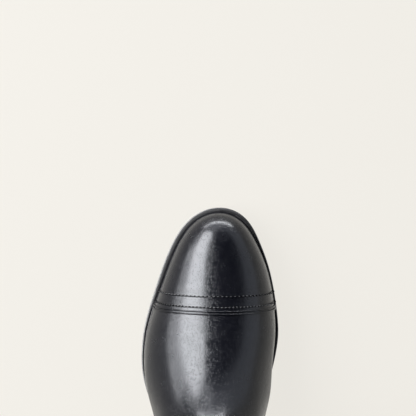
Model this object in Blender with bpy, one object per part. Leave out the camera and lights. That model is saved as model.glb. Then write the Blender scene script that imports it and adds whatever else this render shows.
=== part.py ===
"""Tall dress riding boot for the left foot, as the pieces that a boot maker puts together.

Units are metres. The toe points along -Y, +Z is up and the outer side of the foot is +X.
Inside this file a place on the foot is given by its run, the distance from the back of the
sole towards the toe, and by its height above the floor.
"""

import math

import bmesh
import bpy
import numpy as np
from mathutils import Matrix, Vector

# Sole
SOLE_LENGTH = 0.278
BALL_WIDTH = 0.0912
WAIST_WIDTH = 0.0590
HEEL_WIDTH = 0.0640
TOE_SWING = 0.0055
TOE_NOSE = 0.0873
HEEL_NOSE = 0.0340
OUTSOLE_THICKNESS = 0.0045
OUTSOLE_EDGE = 0.0007
WELT_THICKNESS = 0.0030
WELT_WIDTH = 0.0120
WELT_CHAMFER = 0.0008
TREAD_START = 0.166
TREAD_END = 0.206
TOE_SPRING = 0.009
SPRING_POWER = 1.8

# Heel
HEEL_HEIGHT = 0.028
HEEL_LENGTH = 0.062
HEEL_PITCH = 0.0018
HEEL_TAPER = 0.0022
TOP_PIECE_THICKNESS = 0.006
TOP_PIECE_EDGE = 0.0006

# Upper: the vamp and shaft over the last and the calf
LEATHER = 0.0022
TOE_OVERHANG = 0.0033
HEEL_SET = 0.0026
TOE_BOX_HEIGHT = 0.0272
TOE_BOX_LENGTH = 0.030
RIDGE_SHIFT = 0.003
FEATHER_TUCK = 0.0009
FEATHER_ROUND = 0.006
WAIST_SWELL_INNER = 0.0080
WAIST_SWELL_OUTER = 0.0030
SWELL_HEIGHT = 0.022
HEEL_CUP_WIDTH = 0.0640
ANKLE_BONE_WIDTH = 0.0700
ANKLE_HEIGHT = 0.142
ANKLE_INSET = 0.014
ANKLE_DEPTH = 0.110
ANKLE_WIDTH = 0.0780
CALF_HEIGHT = 0.370
CALF_DEPTH = 0.130
CALF_WIDTH = 0.1130
CALF_OVERHANG = 0.003
SHIN_HOLLOW = 0.0040
COLLAR_HEIGHT = 0.460
COLLAR_DEPTH = 0.127
COLLAR_WIDTH = 0.1110
COLLAR_RISE = 0.018
# Shares of the ankle's height at which the foot's form starts to turn into the leg's, and over
# which it does so: for the width, for the upright front, and for the end of the foot's ridge.
WIDTH_TURN = 0.35, 0.45
FRONT_TURN = 0.38, 0.32
RIDGE_TURN = 0.70, 0.30
# Share of the shaft's height from which the collar's outer side rises.
RISE_START = 0.3

# Pieces laid over the upper, and the insole inside it
CAP_LENGTH = 0.0643
CAP_LEAN = 3.9
CAP_THICKNESS = 0.0012
BEAD_COUNT = 2
BEAD_WIDTH = 0.0014
BEAD_SPACING = 0.0017
BEAD_THICKNESS = 0.0009
BACK_STRIP_WIDTH = 0.018
BACK_STRIP_THICKNESS = 0.0012
INSOLE_THICKNESS = 0.003
FIT_GAP = 0.0003

# How finely each form is cut into facets
COLUMNS = 56
TOE_WALL_RINGS = 7
VAMP_RINGS = 15
SHAFT_RINGS = 8
HEEL_POINTS = 31
CURVE_SAMPLES = 900
# Share of the climb from seat to ankle that the toe box's rings cover at the heel, and how much
# closer the rings lie at the heel's foot than at the ankle.
HEEL_STEP = 0.09
HEEL_SPACING = 1.9
SLOPE_STEPS = 4
SHARP_ANGLE = 40
NEAR_ZERO = 1e-6
# How far past a laid-on piece its cutting box reaches, as a share of the piece's own reach.
GUIDE_REACH = 1.5

ANKLE_FRONT = ANKLE_INSET + ANKLE_DEPTH
INSTEP_TOP = 0.85 * ANKLE_HEIGHT
INSTEP_RUN = ANKLE_FRONT + 0.15 * ANKLE_DEPTH
INSTEP_FADE = 0.18 * ANKLE_DEPTH
CALF_FRONT = CALF_DEPTH - CALF_OVERHANG
COLLAR_BACK = -CALF_OVERHANG / 3
COLLAR_FRONT = COLLAR_BACK + COLLAR_DEPTH
TOE_RUN = SOLE_LENGTH - TOE_OVERHANG
MIDDLE_RUN = (SOLE_LENGTH - CALF_OVERHANG - FIT_GAP - BACK_STRIP_THICKNESS) / 2
INNER, OUTER = -1, 1


def smooth_curve(knots, values):
    """A natural cubic spline through the rows of a table, as a function of its first column."""
    x = np.asarray(knots, float)
    y = np.asarray(values, float)
    step = np.diff(x)
    slope = np.diff(y) / step
    system = np.eye(len(x))
    right = np.zeros(len(x))
    for i in range(1, len(x) - 1):
        system[i, i - 1 : i + 2] = step[i - 1], 2 * (step[i - 1] + step[i]), step[i]
        right[i] = 6 * (slope[i] - slope[i - 1])
    bend = np.linalg.solve(system, right)

    def at(points):
        p = np.clip(np.asarray(points, float), x[0], x[-1])
        i = np.clip(np.searchsorted(x, p, side="right") - 1, 0, len(step) - 1)
        before, after, h = p - x[i], x[i + 1] - p, step[i]
        cubic = (bend[i] * after**3 + bend[i + 1] * before**3) / (6 * h)
        line = (y[i] / h - bend[i] * h / 6) * after + (y[i + 1] / h - bend[i + 1] * h / 6) * before
        return cubic + line

    return at


def ease(share):
    """0 to 1 with a flat start and end."""
    s = np.clip(share, 0.0, 1.0)
    return s * s * (3 - 2 * s)


def round_end(share):
    """The half-width of an ellipse's end: 0 at its tip, 1 from its widest place on."""
    s = np.clip(share, 0.0, 1.0)
    return np.sqrt(1 - (1 - s) ** 2)


def mix(low, high, share):
    return low + (high - low) * share


# Columns: share of the sole's length, half-width without the rounded ends, swing of the
# middle line towards the inner side.
SOLE_PLAN = [
    (0.000, 0.516 * HEEL_WIDTH, 0.00 * TOE_SWING),
    (0.120, 0.500 * HEEL_WIDTH, 0.00 * TOE_SWING),
    (0.250, 0.510 * WAIST_WIDTH, -0.10 * TOE_SWING),
    (0.400, 0.500 * WAIST_WIDTH, -0.40 * TOE_SWING),
    (0.500, 0.372 * BALL_WIDTH, -0.52 * TOE_SWING),
    (0.550, 0.433 * BALL_WIDTH, -0.44 * TOE_SWING),
    (0.620, 0.487 * BALL_WIDTH, -0.25 * TOE_SWING),
    (0.686, 0.500 * BALL_WIDTH, 0.09 * TOE_SWING),
    (0.730, 0.491 * BALL_WIDTH, 0.27 * TOE_SWING),
    (0.800, 0.472 * BALL_WIDTH, 0.55 * TOE_SWING),
    (0.870, 0.466 * BALL_WIDTH, 0.71 * TOE_SWING),
    (0.930, 0.474 * BALL_WIDTH, 0.80 * TOE_SWING),
    (1.000, 0.526 * BALL_WIDTH, 1.12 * TOE_SWING),
]
# Columns: share of the sole's length, how far the welt stands out past the upper on the inner
# side and on the outer side, as shares of what it stands out at the toe.
WELT_SHOW = [
    (0.00, 0.24, 0.24),
    (0.12, 0.24, 0.24),
    (0.40, 0.20, 0.26),
    (0.55, 0.45, 0.36),
    (0.62, 0.80, 0.46),
    (0.69, 0.68, 0.55),
    (0.74, 0.45, 0.68),
    (0.80, 0.28, 0.88),
    (0.87, 0.24, 1.00),
    (0.93, 0.40, 1.02),
    (1.00, 0.80, 1.02),
]
# Columns: share of the sole's length, swell of the upper's side as a share of the waist's swell,
# and the power of the arch over the foot: high is boxy, low is peaked.
FOOT_FORM = [
    (0.00, 0.00, 2.2),
    (0.20, 0.25, 2.0),
    (0.38, 0.85, 1.9),
    (0.50, 1.00, 1.8),
    (0.60, 0.55, 1.9),
    (0.70, 0.12, 2.1),
    (0.80, 0.00, 2.3),
    (1.00, 0.00, 2.5),
]

plan_share, plan_half, plan_swing = zip(*SOLE_PLAN)
plan_run = [share * SOLE_LENGTH for share in plan_share]
sole_body = smooth_curve(plan_run, plan_half)
sole_swing = smooth_curve(plan_run, plan_swing)
show_share, show_inner, show_outer = zip(*WELT_SHOW)
show_run = [share * SOLE_LENGTH for share in show_share]
welt_show = {
    INNER: smooth_curve(show_run, [share * TOE_OVERHANG for share in show_inner]),
    OUTER: smooth_curve(show_run, [share * TOE_OVERHANG for share in show_outer]),
}
form_share, form_swell, form_power = zip(*FOOT_FORM)
form_run = [share * SOLE_LENGTH for share in form_share]
foot_swell = smooth_curve(form_run, form_swell)
arch_power = smooth_curve(form_run, form_power)
WAIST_SWELL = {INNER: WAIST_SWELL_INNER, OUTER: WAIST_SWELL_OUTER}


def sole_edge(run, side):
    """The sole's edge across the foot, at a run, on its inner or outer side."""
    half = sole_body(run) * round_end(run / HEEL_NOSE) * round_end((SOLE_LENGTH - run) / TOE_NOSE)
    return side * half - sole_swing(run)


def sole_under(run):
    """Height of the outsole's underside: heel seat, arch, flat tread and toe spring."""
    run = np.asarray(run, float)
    seat = HEEL_HEIGHT - HEEL_PITCH * run / HEEL_LENGTH
    breast = HEEL_HEIGHT - HEEL_PITCH
    reach = TREAD_START - HEEL_LENGTH
    share = np.clip((run - HEEL_LENGTH) / reach, 0, 1)
    start_slope = -HEEL_PITCH / HEEL_LENGTH * reach
    fall = breast * (2 * share**3 - 3 * share**2 + 1)
    arch = fall + start_slope * (share**3 - 2 * share**2 + share)
    spring = np.clip((run - TREAD_END) / (SOLE_LENGTH - TREAD_END), 0, None)
    return np.where(run < HEEL_LENGTH, seat, arch) + TOE_SPRING * spring**SPRING_POWER


def outsole_top(run):
    return sole_under(run) + OUTSOLE_THICKNESS


def welt_top(run):
    return outsole_top(run) + FIT_GAP + WELT_THICKNESS


def feather(run):
    """Height of the feather line, where the upper meets the welt."""
    return welt_top(run) + FIT_GAP


def dense_profile(rows):
    """Many points on one smooth curve through rows of (run, height)."""
    points = np.asarray(rows, float)
    along = np.concatenate([[0], np.cumsum(np.linalg.norm(np.diff(points, axis=0), axis=1))])
    fine = np.linspace(0, along[-1], CURVE_SAMPLES)
    runs = smooth_curve(along, points[:, 0])(fine)
    heights = smooth_curve(along, points[:, 1])(fine)
    return fine, runs, heights


def front_rows():
    """The boot's front outline from the toe's feather up to the collar, as (run, height)."""
    toe = float(feather(TOE_RUN))
    box_run, box_height = TOE_RUN - TOE_BOX_LENGTH, toe + TOE_BOX_HEIGHT
    # Columns: share of the toe box's length, share of its height.
    toe_wall = [(0, 0), (0.008, 0.19), (0.085, 0.45), (0.28, 0.71), (0.60, 0.90), (1, 1)]
    # Columns: share of the way back to the ankle's front, share of the climb to it.
    vamp = [
        (0.162, 0.032), (0.328, 0.080), (0.494, 0.146), (0.643, 0.231), (0.776, 0.340),
        (0.875, 0.468), (0.938, 0.610), (0.979, 0.785), (1, 1),
    ]
    # Columns: share of the climb from ankle to calf, share of the shin's hollow.
    shin = [(0.12, 0.90), (0.30, 1.55), (0.52, 1.20), (0.78, 0.40), (1, 0)]
    rows = [(TOE_RUN - a * TOE_BOX_LENGTH, toe + b * TOE_BOX_HEIGHT) for a, b in toe_wall]
    rows += [(mix(box_run, ANKLE_FRONT, a), mix(box_height, ANKLE_HEIGHT, b)) for a, b in vamp]
    for climb, hollow in shin:
        run = mix(ANKLE_FRONT, CALF_FRONT, climb) - hollow * SHIN_HOLLOW
        rows.append((run, mix(ANKLE_HEIGHT, CALF_HEIGHT, climb)))
    rows.append((mix(CALF_FRONT, COLLAR_FRONT, 0.5), mix(CALF_HEIGHT, COLLAR_HEIGHT, 0.6)))
    rows.append((COLLAR_FRONT, COLLAR_HEIGHT))
    return rows


def back_rows():
    """The boot's back outline from the heel's feather up to the collar, as (run, height)."""
    seat = float(feather(HEEL_SET))
    # Columns: share of the climb from seat to ankle, share of the ankle's inset.
    heel = [
        (0.085, 0.090), (0.17, 0.086), (0.28, 0.17), (0.43, 0.39), (0.60, 0.68), (0.79, 0.915),
        (1, 1),
    ]
    # Columns: share of the climb from ankle to calf, share of the way out to the calf's back.
    calf = [(0.12, 0.09), (0.32, 0.35), (0.54, 0.68), (0.78, 0.91), (1, 1)]
    rows = [(HEEL_SET, seat)]
    rows += [(share * ANKLE_INSET, mix(seat, ANKLE_HEIGHT, climb)) for climb, share in heel]
    for climb, share in calf:
        run = mix(ANKLE_INSET, -CALF_OVERHANG, share)
        rows.append((run, mix(ANKLE_HEIGHT, CALF_HEIGHT, climb)))
    rows.append((mix(-CALF_OVERHANG, COLLAR_BACK, 0.4), mix(CALF_HEIGHT, COLLAR_HEIGHT, 0.6)))
    rows.append((COLLAR_BACK, COLLAR_HEIGHT))
    return rows


front_along, front_runs, front_heights = dense_profile(front_rows())
back_along, back_runs, back_heights = dense_profile(back_rows())
SEAT_HEIGHT = float(feather(0))

# Columns: height, half-width of the leg there, length of the rounded back of its section.
LEG_FORM = [
    (SEAT_HEIGHT, 0.500 * HEEL_CUP_WIDTH, 1.00 * HEEL_NOSE),
    (mix(SEAT_HEIGHT, ANKLE_HEIGHT, 0.28), 0.492 * HEEL_CUP_WIDTH, 1.08 * HEEL_NOSE),
    (mix(SEAT_HEIGHT, ANKLE_HEIGHT, 0.56), 0.500 * ANKLE_BONE_WIDTH, 0.40 * ANKLE_DEPTH),
    (ANKLE_HEIGHT, 0.500 * ANKLE_WIDTH, 0.47 * ANKLE_DEPTH),
    (mix(ANKLE_HEIGHT, CALF_HEIGHT, 0.30), 0.395 * CALF_WIDTH, 0.41 * CALF_DEPTH),
    (mix(ANKLE_HEIGHT, CALF_HEIGHT, 0.62), 0.465 * CALF_WIDTH, 0.45 * CALF_DEPTH),
    (CALF_HEIGHT, 0.500 * CALF_WIDTH, 0.50 * CALF_DEPTH),
    (COLLAR_HEIGHT, 0.500 * COLLAR_WIDTH, 0.50 * COLLAR_DEPTH),
]
leg_heights, leg_halves, leg_backs = zip(*LEG_FORM)
leg_half = smooth_curve(leg_heights, leg_halves)
leg_back = smooth_curve(leg_heights, leg_backs)


def ridge(run):
    """Height of the foot's ridge over a run. Behind the instep it climbs away steeply, since the
    shaft's own front edge takes over there."""
    low = front_heights < INSTEP_TOP
    runs, heights = front_runs[low][::-1], front_heights[low][::-1]
    climb = (heights[0] - heights[SLOPE_STEPS]) / (runs[SLOPE_STEPS] - runs[0])
    beyond = np.clip(runs[0] - run, 0, None)
    steep = np.clip((INSTEP_RUN - run) / INSTEP_FADE, 0, None) ** 3
    return np.interp(run, runs, heights) + climb * beyond + COLLAR_HEIGHT * steep


def ankle_turn(height, start, reach):
    """How far the foot's form has turned into the leg's at a height, from 0 to 1."""
    return ease((height / ANKLE_HEIGHT - start) / reach)


def half_section(run, height, side):
    """Place of the upper's outside across the foot, at a run and height of the side view."""
    lift = height - feather(run)
    leg_share = ankle_turn(height, *WIDTH_TURN)
    swell = WAIST_SWELL[side] * foot_swell(run) * ease(lift / SWELL_HEIGHT)
    foot = (sole_body(run) - welt_show[side](run) + swell) * round_end((TOE_RUN - run) / TOE_NOSE)
    width = mix(foot, leg_half(height), leg_share)
    front = np.interp(height, front_heights, front_runs)
    back = np.interp(height, back_heights, back_runs)
    under = np.clip(1 - lift / np.maximum(ridge(run) - feather(run), NEAR_ZERO), 0, 1)
    under = mix(under, 1, ankle_turn(height, *RIDGE_TURN))
    behind = np.clip((front - run) / (front - back - leg_back(height)), 0, 1)
    behind = 1 - ankle_turn(height, *FRONT_TURN) * (1 - behind)
    both = under * behind / np.maximum(under + behind - under * behind, NEAR_ZERO)
    closing = np.sqrt(1 - (1 - both) ** arch_power(run))
    half = width * closing * round_end((run - back) / leg_back(height))
    shift = RIDGE_SHIFT * (1 - under) ** 2 * ease((TOE_RUN - run) / TOE_NOSE)
    return side * half - (sole_swing(run) + shift) * (1 - leg_share)


def ring_ends():
    """Where each ring of the upper starts on the front outline and ends on the back outline."""
    box_along = np.interp(feather(TOE_RUN) + TOE_BOX_HEIGHT, front_heights, front_along)
    ankle_along = np.interp(ANKLE_HEIGHT, front_heights, front_along)
    back_ankle = np.interp(ANKLE_HEIGHT, back_heights, back_along)
    heel_step = HEEL_STEP * back_ankle
    ends = []
    for i in range(TOE_WALL_RINGS):
        share = i / TOE_WALL_RINGS
        ends.append((share * box_along, share * heel_step))
    for i in range(VAMP_RINGS):
        share = i / VAMP_RINGS
        back = mix(heel_step, back_ankle, share**HEEL_SPACING)
        ends.append((mix(box_along, ankle_along, share), back))
    for i in range(SHAFT_RINGS + 1):
        share = i / SHAFT_RINGS
        front = mix(ankle_along, front_along[-1], share)
        ends.append((front, mix(back_ankle, back_along[-1], share)))
    return ends


def upper_grid():
    """The upper's outside as rings of points from the feather line up to the collar."""
    turn = np.linspace(0, 2 * math.pi, COLUMNS, endpoint=False)
    share = (1 - np.cos(turn)) / 2
    outer_side = np.sin(turn) >= 0
    ends = ring_ends()
    foot_rings = TOE_WALL_RINGS + VAMP_RINGS
    rings = []
    for i, (front_at, back_at) in enumerate(ends):
        front_run = np.interp(front_at, front_along, front_runs)
        front_height = np.interp(front_at, front_along, front_heights)
        back_run = np.interp(back_at, back_along, back_runs)
        back_height = np.interp(back_at, back_along, back_heights)
        run = mix(front_run, back_run, share)
        straight = mix(feather(front_run), feather(back_run), share)
        sag = (feather(run) - straight) * max(0, 1 - i / foot_rings) ** 2
        height = mix(front_height, back_height, share) + sag
        across = np.where(
            outer_side, half_section(run, height, OUTER), half_section(run, height, INNER)
        )
        shaft_share = max(0, i - foot_rings) / SHAFT_RINGS
        rise_share = ease((shaft_share - RISE_START) / (1 - RISE_START))
        rise = COLLAR_RISE * rise_share * np.clip(np.sin(turn), 0, 1) ** 2
        rings.append(np.column_stack([across, MIDDLE_RUN - run, height + rise]))
    return np.array(rings)


def outward(grid):
    """Unit normals of a grid of rings, pointing out of the boot."""
    along = np.gradient(grid, axis=0)
    around = np.roll(grid, -1, axis=1) - np.roll(grid, 1, axis=1)
    normal = np.cross(around, along)
    return normal / np.linalg.norm(normal, axis=2, keepdims=True)


def tucked(grid):
    """Rolls the grid's lowest edge in under the last, as leather turns in above a welt."""
    lift = grid[:, :, 2] - feather(MIDDLE_RUN - grid[:, :, 1])
    tuck = FEATHER_TUCK * np.clip(1 - lift / FEATHER_ROUND, 0, 1) ** 2
    sideways = outward(grid) * (1, 1, 0)
    return grid - sideways * tuck[:, :, None]


UPPER_GRID = tucked(upper_grid())
UPPER_OUT = outward(UPPER_GRID)


def offset_grid(distance):
    """The upper's outside moved out by a distance, with its lower and upper edges kept level."""
    moved = UPPER_GRID + UPPER_OUT * distance
    moved[0, :, 2] = UPPER_GRID[0, :, 2]
    moved[-1, :, 2] = UPPER_GRID[-1, :, 2]
    return moved


def new_material(name, colour, roughness):
    material = bpy.data.materials.new(name)
    material.use_nodes = True
    shader = material.node_tree.nodes["Principled BSDF"]
    shader.inputs["Base Color"].default_value = (*colour, 1)
    shader.inputs["Roughness"].default_value = roughness
    shader.inputs["Metallic"].default_value = 0
    return material


def new_object(name, mesh, material):
    mesh.materials.append(material)
    mesh.shade_smooth()
    mesh.set_sharp_from_angle(angle=math.radians(SHARP_ANGLE))
    thing = bpy.data.objects.new(name, mesh)
    bpy.context.scene.collection.objects.link(thing)
    return thing


def loft(name, loops, material, ring=False):
    """A closed solid through equal loops of points. It is a ring, or its ends are filled by
    strips that join each point to the one across from it."""
    shape = bmesh.new()
    rows = [[shape.verts.new(point) for point in loop] for loop in loops]
    count = len(rows[0])
    pairs = list(zip(rows, rows[1:]))
    if ring:
        pairs.append((rows[-1], rows[0]))
    for low, high in pairs:
        for i in range(count):
            j = (i + 1) % count
            shape.faces.new((low[i], low[j], high[j], high[i]))
    if not ring:
        for row in (rows[0], rows[-1]):
            for i in range(count // 2):
                corners = [row[i], row[i + 1], row[-i - 1], row[-i]]
                corners = list(dict.fromkeys(corners))
                if len(corners) > 2:
                    shape.faces.new(corners)
    bmesh.ops.recalc_face_normals(shape, faces=shape.faces)
    bmesh.ops.triangulate(shape, faces=shape.faces, quad_method="SHORT_EDGE")
    mesh = bpy.data.meshes.new(name)
    shape.to_mesh(mesh)
    shape.free()
    return new_object(name, mesh, material)


def as_guide(thing):
    thing.hide_render = True
    thing.display_type = "WIRE"
    return thing


def plan_loop(run, across, height):
    return np.column_stack([across, MIDDLE_RUN - run, height])


def inset_loop(loop, distance):
    """A closed loop moved inwards in plan. The loop runs anticlockwise seen from above."""
    along = np.roll(loop, -1, axis=0) - np.roll(loop, 1, axis=0)
    inward = np.column_stack([-along[:, 1], along[:, 0], np.zeros(len(loop))])
    inward /= np.linalg.norm(inward, axis=1, keepdims=True)
    return loop + inward * distance


def sole_loop(height_at):
    """The sole's outline at the heights that height_at gives, anticlockwise from the toe."""
    turn = np.linspace(0, 2 * math.pi, COLUMNS, endpoint=False)
    run = SOLE_LENGTH * (1 + np.cos(turn)) / 2
    across = np.where(np.sin(turn) >= 0, sole_edge(run, OUTER), sole_edge(run, INNER))
    return plan_loop(run, across, height_at(run))


def with_height(loop, height_at, extra=0.0):
    """A loop set to the heights that height_at gives for its runs, plus a little extra."""
    placed = loop.copy()
    placed[:, 2] = height_at(MIDDLE_RUN - loop[:, 1]) + extra
    return placed


def build_outsole(material):
    edge = sole_loop(sole_under)
    loops = [
        inset_loop(edge, OUTSOLE_EDGE),
        with_height(edge, sole_under, OUTSOLE_EDGE),
        with_height(edge, outsole_top, -OUTSOLE_EDGE / 2),
        with_height(inset_loop(edge, OUTSOLE_EDGE / 2), outsole_top),
    ]
    return loft("outsole", loops, material)


def build_welt(material):
    edge = sole_loop(outsole_top)
    inside = inset_loop(edge, WELT_WIDTH)
    loops = [
        with_height(inside, outsole_top, FIT_GAP),
        with_height(inset_loop(edge, WELT_CHAMFER / 2), outsole_top, FIT_GAP),
        with_height(edge, outsole_top, FIT_GAP + WELT_CHAMFER / 2),
        with_height(edge, welt_top, -WELT_CHAMFER),
        with_height(inset_loop(edge, WELT_CHAMFER), welt_top),
        with_height(inside, welt_top),
    ]
    return loft("welt", loops, material, ring=True)


def heel_loop(inset, height_at, extra=0.0):
    """The heel's D-shaped outline: round at the back and straight across its breast."""
    share = np.linspace(-1, 1, HEEL_POINTS)
    run = HEEL_LENGTH * share**2
    across = np.where(share >= 0, sole_edge(run, OUTER), sole_edge(run, INNER))
    slim = 1 - inset / (0.5 * HEEL_WIDTH)
    run = inset + run * (1 - inset / HEEL_LENGTH)
    return with_height(plan_loop(run, across * slim, 0 * run), height_at, extra)


def heel_solid(name, loops, material):
    """A solid through D-shaped outlines, each filled by strips across the foot."""
    shape = bmesh.new()
    rows = [[shape.verts.new(point) for point in loop] for loop in loops]
    last = len(rows[0]) - 1
    for low, high in zip(rows, rows[1:]):
        for i in range(last):
            shape.faces.new((low[i], low[i + 1], high[i + 1], high[i]))
        shape.faces.new((low[last], low[0], high[0], high[last]))
    for row in (rows[0], rows[-1]):
        for i in range(last // 2):
            corners = list(dict.fromkeys([row[i], row[i + 1], row[last - i - 1], row[last - i]]))
            shape.faces.new(corners)
    bmesh.ops.recalc_face_normals(shape, faces=shape.faces)
    mesh = bpy.data.meshes.new(name)
    shape.to_mesh(mesh)
    shape.free()
    return new_object(name, mesh, material)


def flat(height):
    return lambda run: height + 0 * run


def build_heel(material):
    """The heel block under the seat, and the top piece that meets the floor."""
    block_foot = TOP_PIECE_THICKNESS + FIT_GAP
    block_share = block_foot / HEEL_HEIGHT
    block = [
        heel_loop(HEEL_TAPER * (1 - block_share), flat(block_foot)),
        heel_loop(OUTSOLE_EDGE, sole_under, -FIT_GAP),
    ]
    edge = TOP_PIECE_EDGE
    top_piece = [
        heel_loop(HEEL_TAPER + edge, flat(0)),
        heel_loop(HEEL_TAPER, flat(edge)),
        heel_loop(HEEL_TAPER * (1 - block_share), flat(TOP_PIECE_THICKNESS)),
    ]
    heel_solid("heel_block", block, material)
    heel_solid("heel_top_piece", top_piece, material)


def build_upper(material):
    """The vamp and shaft as one hollow wall, open at the collar and along the feather line."""
    outside = offset_grid(0)
    inside = offset_grid(-LEATHER)
    return loft("upper", [*outside, *inside[::-1]], material, ring=True)


def build_insole(material):
    """The board inside the upper. Its thicker middle fills the space within the welt."""
    edge = inset_loop(offset_grid(-LEATHER)[0], FIT_GAP)
    middle = inset_loop(sole_loop(outsole_top), WELT_WIDTH + FIT_GAP)
    loops = [
        with_height(middle, outsole_top, FIT_GAP),
        with_height(middle, feather),
        with_height(edge, feather),
        with_height(edge, feather, INSOLE_THICKNESS),
    ]
    return loft("insole", loops, material)


def upper_form(name, distance, reach, material):
    """A filled form of the upper moved out by a distance, and longer by reach at both ends."""
    grid = offset_grid(distance)
    foot, head = grid[0] - (0, 0, reach), grid[-1] + (0, 0, reach)
    loops = [foot, *grid, head] if reach else [*grid]
    return loft(name, loops, material)


def box_guide(name, corners_low, corners_high, material, lean=0.0, pivot=(0, 0, 0)):
    """A box between two corners, leant about the X axis through a pivot."""
    shape = bmesh.new()
    bmesh.ops.create_cube(shape, size=1)
    low, high = Vector(corners_low), Vector(corners_high)
    size = high - low
    stretch = Matrix.Diagonal((*size, 1))
    at_place = Matrix.Translation((low + high) / 2)
    turn = Matrix.Translation(pivot) @ Matrix.Rotation(lean, 4, "X")
    bmesh.ops.transform(shape, matrix=turn @ at_place @ stretch, verts=shape.verts)
    mesh = bpy.data.meshes.new(name)
    shape.to_mesh(mesh)
    shape.free()
    return as_guide(new_object(name, mesh, material))


def overlay(name, thickness, guide, material):
    """A piece laid over the upper: its outer form less its inner form, within a guide box."""
    piece = upper_form(name, FIT_GAP + thickness, 0, material)
    core = as_guide(upper_form(name + "_core", FIT_GAP, LEATHER, material))
    for operation, other in (("DIFFERENCE", core), ("INTERSECT", guide)):
        cut = piece.modifiers.new(operation.lower(), "BOOLEAN")
        cut.operation = operation
        cut.object = other
        cut.solver = "EXACT"
    return piece


def seam_guide(name, ahead, behind, material):
    """A box between two planes beside the toe cap's seam. Ahead and behind are measured from the
    seam towards the toe and towards the heel."""
    seam_run = SOLE_LENGTH - CAP_LENGTH
    pivot = Vector((0, MIDDLE_RUN - seam_run, float(feather(seam_run))))
    low = (-BALL_WIDTH, -ahead, -BALL_WIDTH)
    high = (BALL_WIDTH, behind, BALL_WIDTH)
    return box_guide(name, low, high, material, -math.radians(CAP_LEAN), pivot)


def build_toe_cap(material):
    guide = seam_guide("toe_cap_guide", CAP_LENGTH * GUIDE_REACH, 0, material)
    overlay("toe_cap", CAP_THICKNESS, guide, material)
    for i in range(BEAD_COUNT):
        start = FIT_GAP + i * BEAD_SPACING
        name = f"cap_bead_{i + 1}"
        guide = seam_guide(name + "_guide", -start, start + BEAD_WIDTH, material)
        overlay(name, BEAD_THICKNESS, guide, material)


def build_back_strip(material):
    """The strip that covers the shaft's back seam, from the heel seat up to the collar."""
    half = BACK_STRIP_WIDTH / 2
    low = (-half, MIDDLE_RUN - ANKLE_FRONT / 2, 0)
    high = (half, MIDDLE_RUN + ANKLE_FRONT, COLLAR_HEIGHT * GUIDE_REACH)
    guide = box_guide("back_strip_guide", low, high, material)
    overlay("back_strip", BACK_STRIP_THICKNESS, guide, material)


def build_boot():
    for old in list(bpy.data.objects):
        bpy.data.objects.remove(old, do_unlink=True)
    black_leather = new_material("black_leather", (0.018, 0.018, 0.020), 0.28)
    black_rubber = new_material("black_rubber", (0.022, 0.022, 0.023), 0.55)
    sock_leather = new_material("sock_leather", (0.10, 0.09, 0.08), 0.6)
    build_outsole(black_rubber)
    build_welt(black_rubber)
    build_heel(black_rubber)
    build_upper(black_leather)
    build_insole(sock_leather)
    build_toe_cap(black_leather)
    build_back_strip(black_leather)


build_boot()
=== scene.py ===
# %% [markdown]
# # A tall dress riding boot
# The imported model gives the boot's true sizes and places. This lesson dresses it: each piece of
# leather is made again as a fine surface over the same last, then stitched, polished and lit.
# The box of the bare model is kept.

import math

import bpy
import numpy as np
from mathutils import Matrix, Vector


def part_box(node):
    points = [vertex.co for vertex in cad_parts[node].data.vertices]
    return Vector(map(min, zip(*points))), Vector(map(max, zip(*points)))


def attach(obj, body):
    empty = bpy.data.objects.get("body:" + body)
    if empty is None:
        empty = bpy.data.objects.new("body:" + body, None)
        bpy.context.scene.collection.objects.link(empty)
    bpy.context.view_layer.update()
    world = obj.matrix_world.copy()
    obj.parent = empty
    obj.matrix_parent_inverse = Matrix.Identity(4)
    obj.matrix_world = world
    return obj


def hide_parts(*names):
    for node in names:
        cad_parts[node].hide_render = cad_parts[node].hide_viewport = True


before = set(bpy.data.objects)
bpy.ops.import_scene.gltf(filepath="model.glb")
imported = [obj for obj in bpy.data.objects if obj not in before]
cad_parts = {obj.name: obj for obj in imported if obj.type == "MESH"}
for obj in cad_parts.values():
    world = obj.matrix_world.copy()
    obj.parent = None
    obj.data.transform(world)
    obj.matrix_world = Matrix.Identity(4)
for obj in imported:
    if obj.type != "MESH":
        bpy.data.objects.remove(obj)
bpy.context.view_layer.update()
sole_low, sole_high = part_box("outsole")

# %% [markdown]
# The boot is seen from almost straight above its toe, as someone sees it who looks down at a boot
# on a table. The camera stands 1.3 m up with a long lens, so the toe box hardly widens towards it,
# and the picture's lower edge cuts the boot off at the instep. The camera comes first, because
# everything after it is judged through it.

# %% Camera
CAMERA_PLACE = Vector((0.0150, -0.1412, 1.300))
CAMERA_AIM = Vector((0.0015, -0.1409, 0.0))
CAMERA_ROLL = 0.004
LENS_MM = 165.8
SENSOR_MM = 36.0


def add_camera():
    forward = (CAMERA_AIM - CAMERA_PLACE).normalized()
    right = forward.cross(Vector((0, -1, 0))).normalized()
    up = right.cross(forward)
    turned = Matrix((right, up, -forward)).transposed() @ Matrix.Rotation(CAMERA_ROLL, 3, "Z")
    data = bpy.data.cameras.new("camera")
    data.lens = LENS_MM
    data.sensor_width = SENSOR_MM
    camera = bpy.data.objects.new("camera", data)
    camera.matrix_world = Matrix.Translation(CAMERA_PLACE) @ turned.to_4x4()
    bpy.context.scene.collection.objects.link(camera)
    bpy.context.scene.camera = camera
    return camera


camera = add_camera()
print("camera", camera.location, "lens", LENS_MM)

# %% [markdown]
# ## The last
# A boot is built over a last, and every piece of leather repeats its form. So one set of functions
# describes the last, in the same sizes as the model, and all the pieces are read from it. A place
# on the boot is its run, the distance from the back of the sole towards the toe, and its height.

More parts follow.
